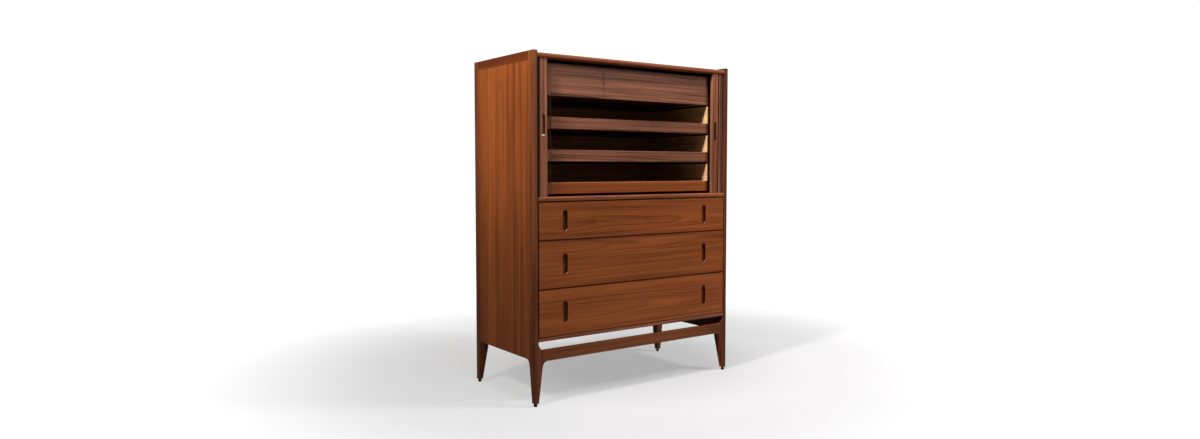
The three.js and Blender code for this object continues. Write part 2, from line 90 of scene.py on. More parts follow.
# Finish and tone of each cross panel.
BOARDS = {
    "bottom": ("case walnut", 0),
    "divider": ("leg walnut", -0.2),
    "top": ("front walnut", 0.1),
}

# Finish and tone of the front of each drawer and tray.
FRONTS = {
    # The lower drawer and tray are paler: painted light, so the fronts look evenly lit.
    "lower_drawer": ("front walnut", -0.25),
    "lower_tray": ("front walnut", -0.25),
    "middle_drawer": ("front walnut", 0),
    "middle_tray": ("tray walnut", 0.25),
    "upper_drawer": ("front walnut", 0),
    "upper_tray": ("tray walnut", 0.25),
    "inner_drawer": ("tray walnut", 0),
}

# How a slat's board was cut from the tree.
SLAT_GRAIN = {"order": "zxy", "pith": (0.16, 0.05)}

# Finishes whose name doesn't give their slot.
SLOTS = {
    "tray walnut": "front_walnut",
    "screw steel": "slide_steel",
    "tambour canvas": "case_walnut",
}

FIGURE_INPUTS = ("Ring width", "Wander", "Taper", "Ring contrast", "Streaks", "Bands", "Pores")
WOODS = {
    # finish: its colours, the inputs above in their order, and its roughness
    "case walnut": ("case", 0.004, 0.04, 0.008, 0.35, 0.5, 0.3, 0.7, 0.4),
    "front walnut": ("front", 0.005, 0.035, 0.012, 0.3, 0.4, 0.25, 0.6, 0.4),
    "tray walnut": ("tray", 0.0045, 0.03, 0.01, 0.35, 0.45, 0.2, 0.6, 0.4),
    "side walnut": ("side", 0.005, 0.03, 0.006, 0.16, 0.27, 0.28, 0.6, 0.42),
    "leg walnut": ("leg", 0.004, 0.03, 0.006, 0.3, 0.45, 0.2, 0.7, 0.38),
    "box maple": ("maple", 0.006, 0.05, 0.02, 0.4, 0.35, 0.2, 0.1, 0.45),
    "box plywood": ("plywood", 0.012, 0.08, 0.05, 0.6, 0.4, 0.2, 0.25, 0.5),
    "back plywood": ("back", 0.01, 0.06, 0.04, 0.6, 0.4, 0.2, 0.4, 0.55),
}

# Each lamp: its place, what it aims at, its width, its spread in degrees and its colour.
LAMPS = {
    "key": ((-2.6, -0.86, 2.9), (0.4, -0.15, 1.66), 0.45, 70, (1, 0.97, 0.92)),
    "front": ((2.1, -2.2, 2.95), (0, 0, 0.6), 0.9, 180, (1, 0.98, 0.97)),
    "top": ((-0.4, -1.3, 4.2), (-0.2, -0.3, 0), 1.6, 180, (0.94, 0.96, 1)),
    "back": ((0.4, 2.6, 0.25), (0, 0.22, 1.05), 0.4, 42, (1, 0.98, 0.96)),
}


def colour_of(red, green, blue):
    """Turns a colour as a screen shows it, 0 to 255, into the linear one that Blender stores."""
    shares = [value / 255 for value in (red, green, blue)]
    return tuple(s / 12.92 if s <= 0.04045 else ((s + 0.055) / 1.055) ** 2.4 for s in shares)


# Sizes, colours and lamps that a user may change.


def length(name, default, description):
    """A length property, in metres."""
    kind = {"subtype": "DISTANCE", "unit": "LENGTH"}
    return FloatProperty(name=name, default=default, min=0, description=description, **kind)


def tint(name, red, green, blue, description):
    """A colour property."""
    kind = {"default": colour_of(red, green, blue), "subtype": "COLOR"}
    return FloatVectorProperty(name=name, min=0, max=1, description=description, **kind)


def power(name, default, description):
    """A lamp's power, in watts."""
    return FloatProperty(name=name, default=default, min=0, description=description, unit="POWER")


class ChestSizes(bpy.types.PropertyGroup):
    """Sizes of the details that the CAD frame leaves plain."""

    board_edge: length("Board edge", 0.0009, "Radius of a board's eased edges")
    leg_edge: length("Leg edge", 0.004, "Radius of the legs' long edges")
    joint_edge: length("Joint edge", 0.0003, "Radius of the edges at a flush joint")
    tray_edge: length("Tray edge", 0.0026, "Radius of the tray fronts' top and bottom edges")
    pull_edge: length("Pull edge", 0.0022, "Radius of the rim of a recessed pull")
    top_band: length("Top band", 0.034, "Height of the cross band at the top of each side")
    slat_pitch: length("Slat pitch", 0.024, "Width of one tambour slat with its gap")
    slat_notch: length("Slat notch", 0.0026, "Depth of the V between two tambour slats")
    shade_strip: length("Shade strip", 0.003, "Width of the left stile's dark strip at the door")
    screw_radius: length("Screw head", 0.0032, "Radius of a screw's head")


class ChestColours(bpy.types.PropertyGroup):
    """Colours of the chest's woods, metal, plastic and cloth."""

    case_light: tint("Case light", 176, 110, 78, "Paler walnut of the case and the slats")
    case_dark: tint("Case dark", 100, 48, 22, "Darker walnut of the case and the slats")
    front_light: tint("Front light", 166, 88, 38, "Paler walnut of the drawer fronts")
    front_dark: tint("Front dark", 106, 46, 8, "Darker walnut of the drawer fronts")
    tray_light: tint("Tray light", 172, 110, 80, "Paler walnut of the tray fronts")
    tray_dark: tint("Tray dark", 82, 40, 22, "Darker walnut of the tray fronts")
    side_light: tint("Side light", 188, 102, 46, "Paler walnut of the side panels")
    side_dark: tint("Side dark", 102, 46, 14, "Darker walnut of the side panels")
    leg_light: tint("Leg light", 152, 84, 44, "Paler walnut of the legs")
    leg_dark: tint("Leg dark", 84, 36, 14, "Darker walnut of the legs")
    maple_light: tint("Maple light", 244, 200, 152, "Paler maple of the boxes")
    maple_dark: tint("Maple dark", 208, 156, 104, "Darker maple of the boxes")
    plywood_light: tint("Plywood light", 168, 128, 82, "Paler plywood of the box bottoms")
    plywood_dark: tint("Plywood dark", 128, 92, 54, "Darker plywood of the box bottoms")
    back_light: tint("Back light", 146, 104, 68, "Paler veneer of the back")
    back_dark: tint("Back dark", 108, 70, 42, "Darker veneer of the back")
    steel: tint("Slide steel", 34, 34, 37, "Black zinc of the slides")
    bare_steel: tint("Screw steel", 150, 148, 144, "Zinc of the screws")
    plastic: tint("Glide plastic", 26, 25, 25, "Plastic of the glides")
    canvas: tint("Canvas", 92, 84, 70, "Cloth behind the tambour slats")


class ChestStage(bpy.types.PropertyGroup):
    """Light, floor and backdrop."""

    floor: tint("Floor", 172, 171, 172, "Floor, lifted to a pale tone where the camera sees it")
    key_power: power("Key power", 26.5, "High warm lamp at the left")
    front_power: power("Front power", 68, "Lamp at the front right")
    top_power: power("Top power", 55, "Wide cool lamp overhead")
    back_power: power("Back power", 6.5, "Low lamp that the chest hides in the photo's view")
    sky: FloatProperty(
        name="Sky", default=0.05, min=0, max=2, description="Even light", subtype="FACTOR"
    )
    seed: IntProperty(name="Seed", default=7, min=0, description="Start of all random draws")


# Mesh tools.


def random_for(name):
    """Random draws that are the same in every run for one piece."""
    return random.Random(f"{bpy.context.scene.chest_stage.seed} {name}")


def on_axis(axis, level, first, second):
    """A point from its place along one axis and its places in the other two."""
    points = {"x": (level, first, second), "y": (first, level, second), "z": (first, second, level)}
    return points[axis]


def box_shape(x, y, z):
    """A closed box between three (low, high) pairs."""
    shape = bmesh.new()
    corners = [shape.verts.new((x[i], y[j], z[k])) for i in (0, 1) for j in (0, 1) for k in (0, 1)]
    sides = ((0, 1, 3, 2), (4, 6, 7, 5), (0, 4, 5, 1), (2, 3, 7, 6), (0, 2, 6, 4), (1, 5, 7, 3))
    for face in sides:
        shape.faces.new([corners[i] for i in face])
    shape.normal_update()
    return shape


def prism_shape(outline, low, high, axis):
    """A closed solid: an outline of points in the other two axes, drawn along one axis."""
    shape = bmesh.new()
    start, end = (
        [shape.verts.new(on_axis(axis, level, *point)) for point in outline]
        for level in (low, high)
    )
    shape.faces.new(start)
    shape.faces.new(end[::-1])
    for i in range(len(outline)):
        after = (i + 1) % len(outline)
        shape.faces.new([start[i], start[after], end[after], end[i]])
    bmesh.ops.recalc_face_normals(shape, faces=shape.faces)
    return shape


def turned_shape(profile, place, axis="z", steps=24):
    """A turned solid: (radius, height) pairs from end to end, around an axis through a place."""
    shape = bmesh.new()
    rings = []
    for radius, height in profile:
        angles = [2 * math.pi * i / steps for i in range(steps if radius > 0 else 1)]
        points = [on_axis(axis, height, radius * math.cos(a), radius * math.sin(a)) for a in angles]
        rings.append([shape.verts.new(Vector(place) + Vector(point)) for point in points])
    for lower, upper in zip(rings, rings[1:]):
        for i in range(steps):
            turns = ((lower, i), (lower, i + 1), (upper, i + 1), (upper, i))
            corners = list(dict.fromkeys(ring[turn % len(ring)] for ring, turn in turns))
            if len(corners) > 2:
                shape.faces.new(corners)
    for ring in (rings[0], rings[-1]):
        if len(ring) > 1:
            shape.faces.new(ring)
    bmesh.ops.recalc_face_normals(shape, faces=shape.faces)
    return shape


def cad_shape(node):
    """A CAD node's shape with its corners merged and its flat faces whole."""
    shape = bmesh.new()
    shape.from_mesh(frame["nodes"][node].data)
    bmesh.ops.remove_doubles(shape, verts=shape.verts, dist=1e-5)
    flat = {"verts": shape.verts, "edges": shape.edges, "delimit": set()}
    bmesh.ops.dissolve_limit(shape, angle_limit=math.radians(1), **flat)
    shape.normal_update()
    return shape


def cut_across(shape, point, normal, **options):
    """Splits a shape's faces along a plane. Both sides stay, unless an option says otherwise."""
    everything = shape.verts[:] + shape.edges[:] + shape.faces[:]
    bmesh.ops.bisect_plane(shape, geom=everything, plane_co=point, plane_no=normal, **options)


def keep_part(shape, point, normal):
    """Cuts a shape by a plane, keeps what lies on the normal's side and closes the cut."""
    cut_across(shape, point, normal, clear_inner=True, dist=1e-6)
    rim = [edge for edge in shape.edges if edge.is_boundary]
    bmesh.ops.contextual_create(shape, geom=rim)
    bmesh.ops.recalc_face_normals(shape, faces=shape.faces)
    return shape


def join_shapes(shapes):
    """Several closed shapes as the loose parts of one."""
    joined = bmesh.new()
    for shape in shapes:
        mesh = bpy.data.meshes.new("part")
        shape.to_mesh(mesh)
        joined.from_mesh(mesh)
        shape.free()
        bpy.data.meshes.remove(mesh)
    return joined


def is_sharp(edge, degrees=28):
    """Whether two faces meet at a real corner along this edge."""
    return len(edge.link_faces) == 2 and edge.calc_face_angle(0) > math.radians(degrees)


def write_values(mesh, name, kind, place, values):
    """Stores one value or vector for each point, corner or face of a mesh."""
    stored = mesh.attributes.new(name, kind, place)
    stored.data.foreach_set("vector" if kind == "FLOAT_VECTOR" else "value", values)


def write_grain(mesh, order, name, pith=(0, 0.06), spread=0.05, tone=0.0, knot=None):
    """Stores each point's place along the grain, across it and away from the tree's middle.

    pith is the tree's middle, across and away. tone is the board's own shade, darker above 0 and
    paler below. knot is a knot's place along and across, half its length and width, and how
    strong it is.
    """
    draw = random_for(name)
    places = np.empty(len(mesh.vertices) * 3)
    mesh.vertices.foreach_get("co", places)
    places = places.reshape(-1, 3)[:, ["xyz".index(letter) for letter in order]]
    along, across = places[:, 0].copy(), places[:, 1].copy()
    places[:, 1] -= (places[:, 1].min() + places[:, 1].max()) / 2
    places[:, 2] -= places[:, 2].min()
    places += [
        draw.uniform(0, 20),
        pith[0] + draw.uniform(-spread, spread),
        pith[1] + draw.uniform(0, 0.3) * abs(pith[1]),
    ]
    write_values(mesh, "grain", "FLOAT_VECTOR", "POINT", places.astype(np.float32).ravel())
    if knot is not None:
        around = np.ones_like(places)
        around[:, 0] = (along - knot[0]) / knot[2]
        around[:, 1] = (across - knot[1]) / knot[3]
        around[:, 2] = knot[4]
        write_values(mesh, "knot", "FLOAT_VECTOR", "POINT", around.astype(np.float32).ravel())
    shade = [tone + draw.uniform(-0.06, 0.06)] * len(mesh.vertices)
    write_values(mesh, "shade", "FLOAT", "POINT", shade)


def make_piece(
    name,
    shape,
    material,
    body,
    *nodes,
    slot=None,
    edge=None,
    segments=3,
    order="xzy",
    grime=None,
    **grain,
):
    """Eases a shape's edges, writes its grain and sets it on its body in place of its CAD nodes.

    edge is one radius, or a function that gives the radius of an edge's middle and direction.
    order gives the axes along the board's length, width and thickness. Its function for painted
    light takes a face's middle, its normal and one of its corners, and gives how dark the painted
    shade makes the face there; below 0 it gives a painted glint.
    """
    if edge is None:
        edge = bpy.context.scene.chest_sizes.board_edge
    slot = slot or SLOTS.get(material, material.replace(" ", "_"))
    pick = edge if callable(edge) else lambda middle, way: edge
    weight = shape.edges.layers.float.new("bevel_weight_edge")
    radii = {}
    for side in shape.edges:
        if is_sharp(side):
            first, second = (vert.co for vert in side.verts)
            radii[side] = pick((first + second) / 2, (second - first).normalized())
    widest = max(radii.values(), default=0) or 1e-4
    for side, radius in radii.items():
        side[weight] = radius / widest
        side.smooth = radius > 0
    for face in shape.faces:
        face.smooth = True
        face.material_index = 0
    rough = bpy.data.meshes.new(name)
    shape.to_mesh(rough)
    shape.free()
    piece = bpy.data.objects.new(name, rough)
    bpy.context.scene.collection.objects.link(piece)
    bevel = piece.modifiers.new("Eased edges", "BEVEL")
    bevel.limit_method = "WEIGHT"
    bevel.width = widest
    bevel.segments = segments
    bevel.material = 1
    bevel.miter_outer = "MITER_ARC"
    shading = piece.modifiers.new("Flat faces stay flat", "WEIGHTED_NORMAL")
    shading.keep_sharp = True
    shading.weight = 80
    depsgraph = bpy.context.evaluated_depsgraph_get()
    mesh = bpy.data.meshes.new_from_object(
        piece.evaluated_get(depsgraph), preserve_all_data_layers=True, depsgraph=depsgraph
    )
    piece.modifiers.clear()
    piece.data = mesh
    bpy.data.meshes.remove(rough)
    mesh.name = name
    faces = mesh.polygons
    eased = [float(face.material_index == 1) for face in faces]
    write_values(mesh, "eased", "FLOAT", "FACE", eased)
    faces.foreach_set("material_index", [0] * len(faces))
    # Each face corner's painted shade, and below 0 its painted glint.
    if grime:
        marks = [
            float(grime(face.center, face.normal, mesh.vertices[i].co))
            for face in faces
            for i in face.vertices
        ]
        write_values(mesh, "grime", "FLOAT", "CORNER", marks)
    write_grain(mesh, order, name, **grain)
    mesh.materials.clear()
    mesh.materials.append(bpy.data.materials[material])
    if body:
        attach(piece, body)
    if nodes:
        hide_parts(*nodes)
    return piece


# Shader tools.


def connect(tree, sockets, values):
    """Links or sets sockets by name or number."""
    for key, value in values.items():
        if isinstance(value, bpy.types.NodeSocket):
            tree.links.new(value, sockets[key])
        else:
            sockets[key].default_value = value


def add_node(tree, kind, inputs=None, **settings):
    """Adds a node, sets its options, and links or sets its inputs."""
    node = tree.nodes.new(kind)
    for key, value in settings.items():
        setattr(node, key, value)
    connect(tree, node.inputs, inputs or {})
    return node


def place_group(tree, name, inputs):
    """One copy of a shared node group, with its own values."""
    return add_node(tree, "ShaderNodeGroup", inputs, node_tree=bpy.data.node_groups[name]).outputs


def attribute(tree, name, output="Vector"):
    """A value that a piece's mesh carries."""
    return add_node(tree, "ShaderNodeAttribute", attribute_name=name).outputs[output]


def maths(tree, operation, *values, clamp=False):
    """One sum on numbers."""
    inputs = dict(enumerate(values))
    return add_node(tree, "ShaderNodeMath", inputs, operation=operation, use_clamp=clamp).outputs[0]


def ranged(tree, value, low=0.3, high=0.7, to_low=0.0, to_high=1.0):
    """Maps a value from one range to another, with a soft start and end."""
    inputs = {"Value": value, "From Min": low, "From Max": high}
    inputs |= {"To Min": to_low, "To Max": to_high}
    node = add_node(tree, "ShaderNodeMapRange", inputs, interpolation_type="SMOOTHSTEP")
    return node.outputs["Result"]


def mixed(tree, share, first, second, blend="MIX"):
    """Mixes two colours."""
    inputs = {0: share, 6: first, 7: second}
    return add_node(tree, "ShaderNodeMix", inputs, data_type="RGBA", blend_type=blend).outputs[2]


def stretched_noise(tree, grain, along, across, detail=3.0, roughness=0.55):
    """Noise drawn out along the grain. Both scales are in waves per metre."""
    factors = {0: grain, 1: (along, across, across)}
    stretch = add_node(tree, "ShaderNodeVectorMath", factors, operation="MULTIPLY").outputs[0]
    inputs = {"Vector": stretch, "Scale": 1.0, "Detail": detail, "Roughness": roughness}
    return add_node(tree, "ShaderNodeTexNoise", inputs).outputs["Fac"]


def length_of(tree, vector):
    """A vector's length."""
    node = add_node(tree, "ShaderNodeVectorMath", {0: vector}, operation="LENGTH")
    return node.outputs["Value"]


def bumped(tree, height, strength, distance):
    """The normal of a surface with this height over it."""
    inputs = {"Height": height, "Strength": strength, "Distance": distance}
    return add_node(tree, "ShaderNodeBump", inputs).outputs["Normal"]


def new_group(name, inputs, outputs):
    """An empty node group with its sockets, and its input and output nodes."""
    tree = bpy.data.node_groups.new(name, "ShaderNodeTree")
    for socket, kind, default in inputs:
        made = tree.interface.new_socket(socket, in_out="INPUT", socket_type=f"NodeSocket{kind}")
        if default is not None:
            made.default_value = default
    for socket, kind in outputs:
        tree.interface.new_socket(socket, in_out="OUTPUT", socket_type=f"NodeSocket{kind}")
    return tree, tree.nodes.new("NodeGroupInput").outputs, tree.nodes.new("NodeGroupOutput").inputs


def make_wood_figure():
    """Growth rings cut by a board, with fibres, pores and slow changes of tone."""
    inputs = [("Grain", "Vector", None), ("Light", "Color", None), ("Dark", "Color", None)]
    usual = (0.006, 0.03, 0.02, 0.6, 0.5, 0.3, 0.5)
    inputs += [(name, "Float", default) for name, default in zip(FIGURE_INPUTS, usual)]
    outputs = [("Color", "Color"), ("Tone", "Float"), ("Height", "Float")]
    tree, given, result = new_group("Wood figure", inputs, outputs)
    grain, contrast = given["Grain"], given["Ring contrast"]
    parts = add_node(tree, "ShaderNodeSeparateXYZ", {0: grain}).outputs
    bend = maths(tree, "SUBTRACT", stretched_noise(tree, grain, 0.9, 2.5, 2.0), 0.5)
    lean = maths(tree, "SUBTRACT", stretched_noise(tree, grain, 4.0, 14.0, 1.0), 0.5)
    across = maths(tree, "MULTIPLY_ADD", bend, given["Wander"], parts["Y"])
    less = maths(tree, "MULTIPLY", given["Wander"], 0.2)
    away = maths(tree, "MULTIPLY_ADD", lean, less, parts["Z"])
    around = add_node(tree, "ShaderNodeSeparateXYZ", {0: attribute(tree, "knot")}).outputs
    squeezed = add_node(tree, "ShaderNodeCombineXYZ", {0: around["X"], 1: around["Y"]}).outputs[0]
    far = maths(tree, "POWER", length_of(tree, squeezed), 2.0)
    swirl = maths(tree, "DIVIDE", around["Z"], maths(tree, "ADD", far, 1.0))
    across = maths(tree, "MULTIPLY_ADD", swirl, 0.03, across)
    flat = add_node(tree, "ShaderNodeCombineXYZ", {0: 0.0, 1: across, 2: away}).outputs[0]
    radius = maths(tree, "MULTIPLY_ADD", parts["X"], given["Taper"], length_of(tree, flat))
    rings = maths(tree, "DIVIDE", radius, given["Ring width"])
    ring = maths(tree, "FRACT", rings)
    whole = {"W": maths(tree, "FLOOR", rings)}
    year = add_node(tree, "ShaderNodeTexWhiteNoise", whole, noise_dimensions="1D").outputs["Value"]
    late = ranged(tree, maths(tree, "MULTIPLY", ring, ranged(tree, ring, 1.0, 0.9)), 0.35, 0.9)
    streak = stretched_noise(tree, grain, 2.2, 170.0, 4.0, 0.65)
    line = stretched_noise(tree, grain, 1.4, 70.0, 3.0)
    fibre = stretched_noise(tree, grain, 14.0, 900.0, 2.0)
    patch = stretched_noise(tree, grain, 1.6, 9.0, 2.0)
    band = stretched_noise(tree, grain, 0.3, 22.0, 2.0)
    parts_of_tone = (
        # value, its middle and its share
        (late, 0.35, contrast),
        (year, 0.5, maths(tree, "MULTIPLY", contrast, 0.6)),
        (ranged(tree, streak), 0.5, given["Streaks"]),
        (ranged(tree, line), 0.5, given["Streaks"]),
        (ranged(tree, fibre), 0.5, 0.16),
        (ranged(tree, patch), 0.5, 0.3),
        (ranged(tree, band), 0.5, given["Bands"]),
        (maths(tree, "POWER", swirl, 3.0), 0.0, 0.8),
    )
    tone = maths(tree, "ADD", attribute(tree, "shade", "Fac"), 0.5)
    for value, middle, share in parts_of_tone:
        tone = maths(tree, "MULTIPLY_ADD", maths(tree, "SUBTRACT", value, middle), share, tone)
    tone = maths(tree, "ADD", tone, 0.0, clamp=True)
    dashes = stretched_noise(tree, grain, 55.0, 1500.0, 1.0)
    pores = maths(tree, "MULTIPLY", ranged(tree, dashes, 0.6, 0.72), given["Pores"])
    pores = maths(tree, "MULTIPLY", pores, ranged(tree, ring, 0.1, 0.9, 0.4, 1.0))
    colour = mixed(tree, tone, given["Light"], given["Dark"])
    deep = mixed(tree, 1.0, given["Dark"], (0.35, 0.3, 0.28, 1), "MULTIPLY")
    colour = mixed(tree, pores, colour, deep)
    height = maths(tree, "MULTIPLY_ADD", fibre, 0.3, maths(tree, "MULTIPLY", pores, -0.7))
    connect(tree, result, {"Color": colour, "Tone": tone, "Height": height})


def make_edge_wear_and_sheen():
    """Where hands and cloths have worn a board's eased edges; on the woods it also carries a
    painted highlight along them.
    """
    inputs = [("Grain", "Vector", None), ("Amount", "Float", 0.6)]
    tree, given, result = new_group("Edge wear", inputs, [("Mask", "Float")])
    worn_and_sheen = ranged(tree, stretched_noise(tree, given["Grain"], 9.0, 30.0, 3.0), 0.35, 0.75)
    worn = maths(tree, "MULTIPLY", attribute(tree, "eased", "Fac"), worn_and_sheen)
    connect(tree, result, {"Mask": maths(tree, "MULTIPLY", worn, given["Amount"])})


def make_handled_surface():
    """Faint smears and dust, as a roughness and a shallow height."""
    inputs = [("Grain", "Vector", None), ("Gloss", "Float", 0.4), ("Smears", "Float", 0.12)]
    outputs = [("Roughness", "Float"), ("Height", "Float")]
    tree, given, result = new_group("Handled surface", inputs, outputs)
    smears = ranged(tree, stretched_noise(tree, given["Grain"], 7.0, 11.0, 4.0, 0.6), 0.3, 0.75)
    specks = ranged(tree, stretched_noise(tree, given["Grain"], 420.0, 420.0, 1.0), 0.7, 0.8)
    rough = maths(tree, "MULTIPLY_ADD", smears, given["Smears"], given["Gloss"])
    rough = maths(tree, "MULTIPLY_ADD", specks, 0.12, rough, clamp=True)
    connect(tree, result, {"Roughness": rough, "Height": specks})


def new_material(name):
    """A material with only its Principled shader, and that shader's inputs."""
    material = bpy.data.materials.new(name)
    material.use_nodes = True
    tree = material.node_tree
    return material, tree, tree.nodes["Principled BSDF"].inputs


def make_wood(name):
    """An oiled wood: its figure, worn edges that also carry a painted highlight, painted shade and
    glint, and handled surface.
    """
    family, *values, gloss = WOODS[name]
    colours = bpy.context.scene.chest_colours
    light, dark = ((*getattr(colours, f"{family}_{shade}"), 1) for shade in ("light", "dark"))
    _, tree, shader = new_material(name)
    grain = attribute(tree, "grain")
    inputs = {"Grain": grain, "Light": light, "Dark": dark, **dict(zip(FIGURE_INPUTS, values))}
    figure = place_group(tree, "Wood figure", inputs)
    wear = place_group(tree, "Edge wear", {"Grain": grain, "Amount": 0.9})
    handled = place_group(tree, "Handled surface", {"Grain": grain, "Gloss": gloss, "Smears": 0.1})
    # The eased edges turn pale lilac: partly wear, partly a painted highlight of the light on the
    # edges.
    worn_and_sheen = mixed(tree, 0.3, light, (0.9, 0.75, 0.75, 1))
    colour = mixed(tree, wear["Mask"], figure["Color"], worn_and_sheen)
    # Painted shade darkens the colour towards near black where the face's value is above 0; below 0
    # a painted glint pales it and makes it glossier.
    grime = attribute(tree, "grime", "Fac")
    painted_shade_colour = mixed(tree, 1.0, colour, (0.06, 0.045, 0.04, 1), "MULTIPLY")
    colour = mixed(tree, maths(tree, "MAXIMUM", grime, 0.0), colour, painted_shade_colour)
    bright = maths(tree, "MAXIMUM", maths(tree, "MULTIPLY", grime, -1.0), 0.0)
    colour = mixed(tree, maths(tree, "MULTIPLY", bright, 0.5), colour, (0.8, 0.74, 0.74, 1))
    rough = maths(tree, "MULTIPLY_ADD", figure["Tone"], 0.08, handled["Roughness"])
    rough = maths(tree, "MULTIPLY_ADD", bright, -0.3, rough, clamp=True)
    height = maths(tree, "MULTIPLY_ADD", handled["Height"], 0.25, figure["Height"])
    normal = bumped(tree, height, 0.35, 0.00025)
    finish = {"Base Color": colour, "Roughness": rough, "Normal": normal}
    connect(tree, shader, {**finish, "Specular IOR Level": 0.28})


def make_smooth_finish(name, colour, metal, rough, scale, bump_depth):
    """Painted steel or moulded plastic: an even colour with fine unevenness and handling."""
    _, tree, shader = new_material(name)
    grain = attribute(tree, "grain")
    handled = place_group(tree, "Handled surface", {"Grain": grain, "Gloss": rough, "Smears": 0.16})
    wear = place_group(tree, "Edge wear", {"Grain": grain, "Amount": 0.7})
    cloud = ranged(tree, stretched_noise(tree, grain, 40.0, 60.0, 4.0))
    base = mixed(tree, cloud, (*colour, 1), (*(min(1, c * 1.35 + 0.004) for c in colour), 1))
    worn = mixed(tree, wear["Mask"], base, (*(min(1, c * 2.2 + 0.03) for c in colour), 1))
    normal = bumped(tree, stretched_noise(tree, grain, scale, scale, 2.0), 0.4, bump_depth)
    finish = {"Base Color": worn, "Roughness": handled["Roughness"], "Normal": normal}
    connect(tree, shader, {**finish, "Metallic": metal})


def make_canvas():
    """A plain weave of thick threads, dull and slightly uneven."""
    colour = bpy.context.scene.chest_colours.canvas
    _, tree, shader = new_material("tambour canvas")
    grain = attribute(tree, "grain")
    parts = add_node(tree, "ShaderNodeSeparateXYZ", {0: grain}).outputs
    warp, weft = (maths(tree, "SINE", maths(tree, "MULTIPLY", parts[a], 4200.0)) for a in "XY")
    weave = maths(tree, "MULTIPLY_ADD", maths(tree, "MULTIPLY", warp, weft), 0.5, 0.5)
    slub = ranged(tree, stretched_noise(tree, grain, 60.0, 400.0, 3.0))
    base = mixed(tree, slub, (*(c * 0.72 for c in colour), 1), (*colour, 1))
    shaded = mixed(tree, weave, mixed(tree, 0.5, base, (0, 0, 0, 1)), base)
    handled = place_group(tree, "Handled surface", {"Grain": grain, "Gloss": 0.85, "Smears": 0.08})
    normal = bumped(tree, weave, 0.5, 0.0004)
    finish = {"Base Color": shaded, "Roughness": handled["Roughness"], "Normal": normal}
    connect(tree, shader, finish)


# One operator for each group of like pieces.


class CHEST_OT_finishes(bpy.types.Operator):
    """Make the shared node groups and every finish"""

    bl_idname = "chest.finishes"
    bl_label = "Finishes"

    def execute(self, context):
        colours = context.scene.chest_colours
        make_wood_figure()
        make_edge_wear_and_sheen()
        make_handled_surface()
        for name in WOODS:
            make_wood(name)
        make_smooth_finish("slide steel", colours.steel, 0.3, 0.5, 900.0, 0.0001)
        make_smooth_finish("screw steel", colours.bare_steel, 1.0, 0.3, 700.0, 0.00005)
        make_smooth_finish("glide plastic", colours.plastic, 0.0, 0.48, 1400.0, 0.0001)
        make_canvas()
        return {"FINISHED"}


class CHEST_OT_legs(bpy.types.Operator):
    """Build the four legs with their stiles, their glides and the front stretcher"""

    bl_idname = "chest.legs"
    bl_label = "Legs and stretcher"

    def execute(self, context):
        sizes = context.scene.chest_sizes
        for end in ("front", "back"):
            for hand in HANDS:
                self.leg(end, hand, sizes)
                self.glide(f"{end}_{hand}_glide")
        slot_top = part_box("bottom_panel")[0].z
        node, long_edge = "front_stretcher", 0.0014

        def rail_edge(middle, way):
            if abs(middle.z - slot_top) < CLOSE:
                return 0
            return long_edge if abs(way.y) < 0.5 else sizes.joint_edge

        looks = {"edge": rail_edge, "pith": (0.2, 0.03)}
        make_piece(f"{node}_rail", cad_shape(node), "leg walnut", "case", node, **looks)
        return {"FINISHED"}

    def leg(self, end, hand, sizes):
        place = f"{end}_{hand}"
        node = f"{place}_leg"
        low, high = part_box(node)
        outer_x = low.x if hand == "left" else high.x
        outer_y = low.y if end == "front" else high.y
        panel_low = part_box(f"{hand}_side_panel")[0].z
        end_edge, stile_edge, foot_edge = 0.0015, 0.0012, sizes.leg_edge * 0.75

        def leg_edge(middle, way):
            if abs(way.z) <= 0.9:
                return end_edge
            face = abs(middle.y - outer_y) < NEAR
            if face and abs(middle.x - outer_x) < NEAR:
                return sizes.leg_edge
            if middle.z <= panel_low:
                return foot_edge
            return stile_edge if face else sizes.joint_edge

        shape = cad_shape(node)
        stile_x = min(abs(corner.co.x) for corner in shape.verts if corner.co.z > high.z - 0.1)
        strip = stile_x + sizes.shade_strip
        floor_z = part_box("bottom_panel")[0].z
        shaded = place == "front_left"
        if shaded:
            cut_across(shape, (SIGN[hand] * strip, 0, 0), (1, 0, 0))
            cut_across(shape, (0, 0, floor_z), (0, 0, 1))

        # Painted shade on the left front stile: a strip along its inner edge beside the door's gap,
        # above the bottom panel.
        def beside_door(middle, way, corner):
            inside = abs(middle.x) < strip and middle.z > floor_z
            return GAP_SIDE if shaded and inside and way.y < 0.5 else 0

        looks = {"edge": leg_edge, "order": "zxy", "grime": beside_door, "pith": (0.15, 0.05)}
        # The front right leg is darker: painted shade.
        tone = 0.35 if place == "front_right" else 0
        make_piece(f"{node}_post", shape, "leg walnut", "case", node, tone=tone, **looks)

    def glide(self, node):
        low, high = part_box(node)
        radius = (high.x - low.x) / 2
        middle = ((low.x + high.x) / 2, (low.y + high.y) / 2, 0)
        shape = turned_shape([(radius * wide, high.z * tall) for wide, tall in GLIDE], middle)
        looks = {"edge": 0.0003, "segments": 2, "order": "zxy"}
        make_piece(f"{node}_foot", shape, "glide plastic", "case", node, **looks)


def underside(middle, way, corner):
    """Paints shade on the lower face of a board."""
    return UNDERSIDE if way.z < -0.5 else 0


def screw_head(place, axis, facing, rise):
    """A low round screw head with a hollow for the driver."""
    radius = bpy.context.scene.chest_sizes.screw_radius
    profile = [(0, -SCREW_SEAT), (radius, -SCREW_SEAT)]
    profile += [(radius * wide, rise * tall) for wide, tall in SCREW]
    return turned_shape([(r, facing * h) for r, h in profile], place, axis, 12)


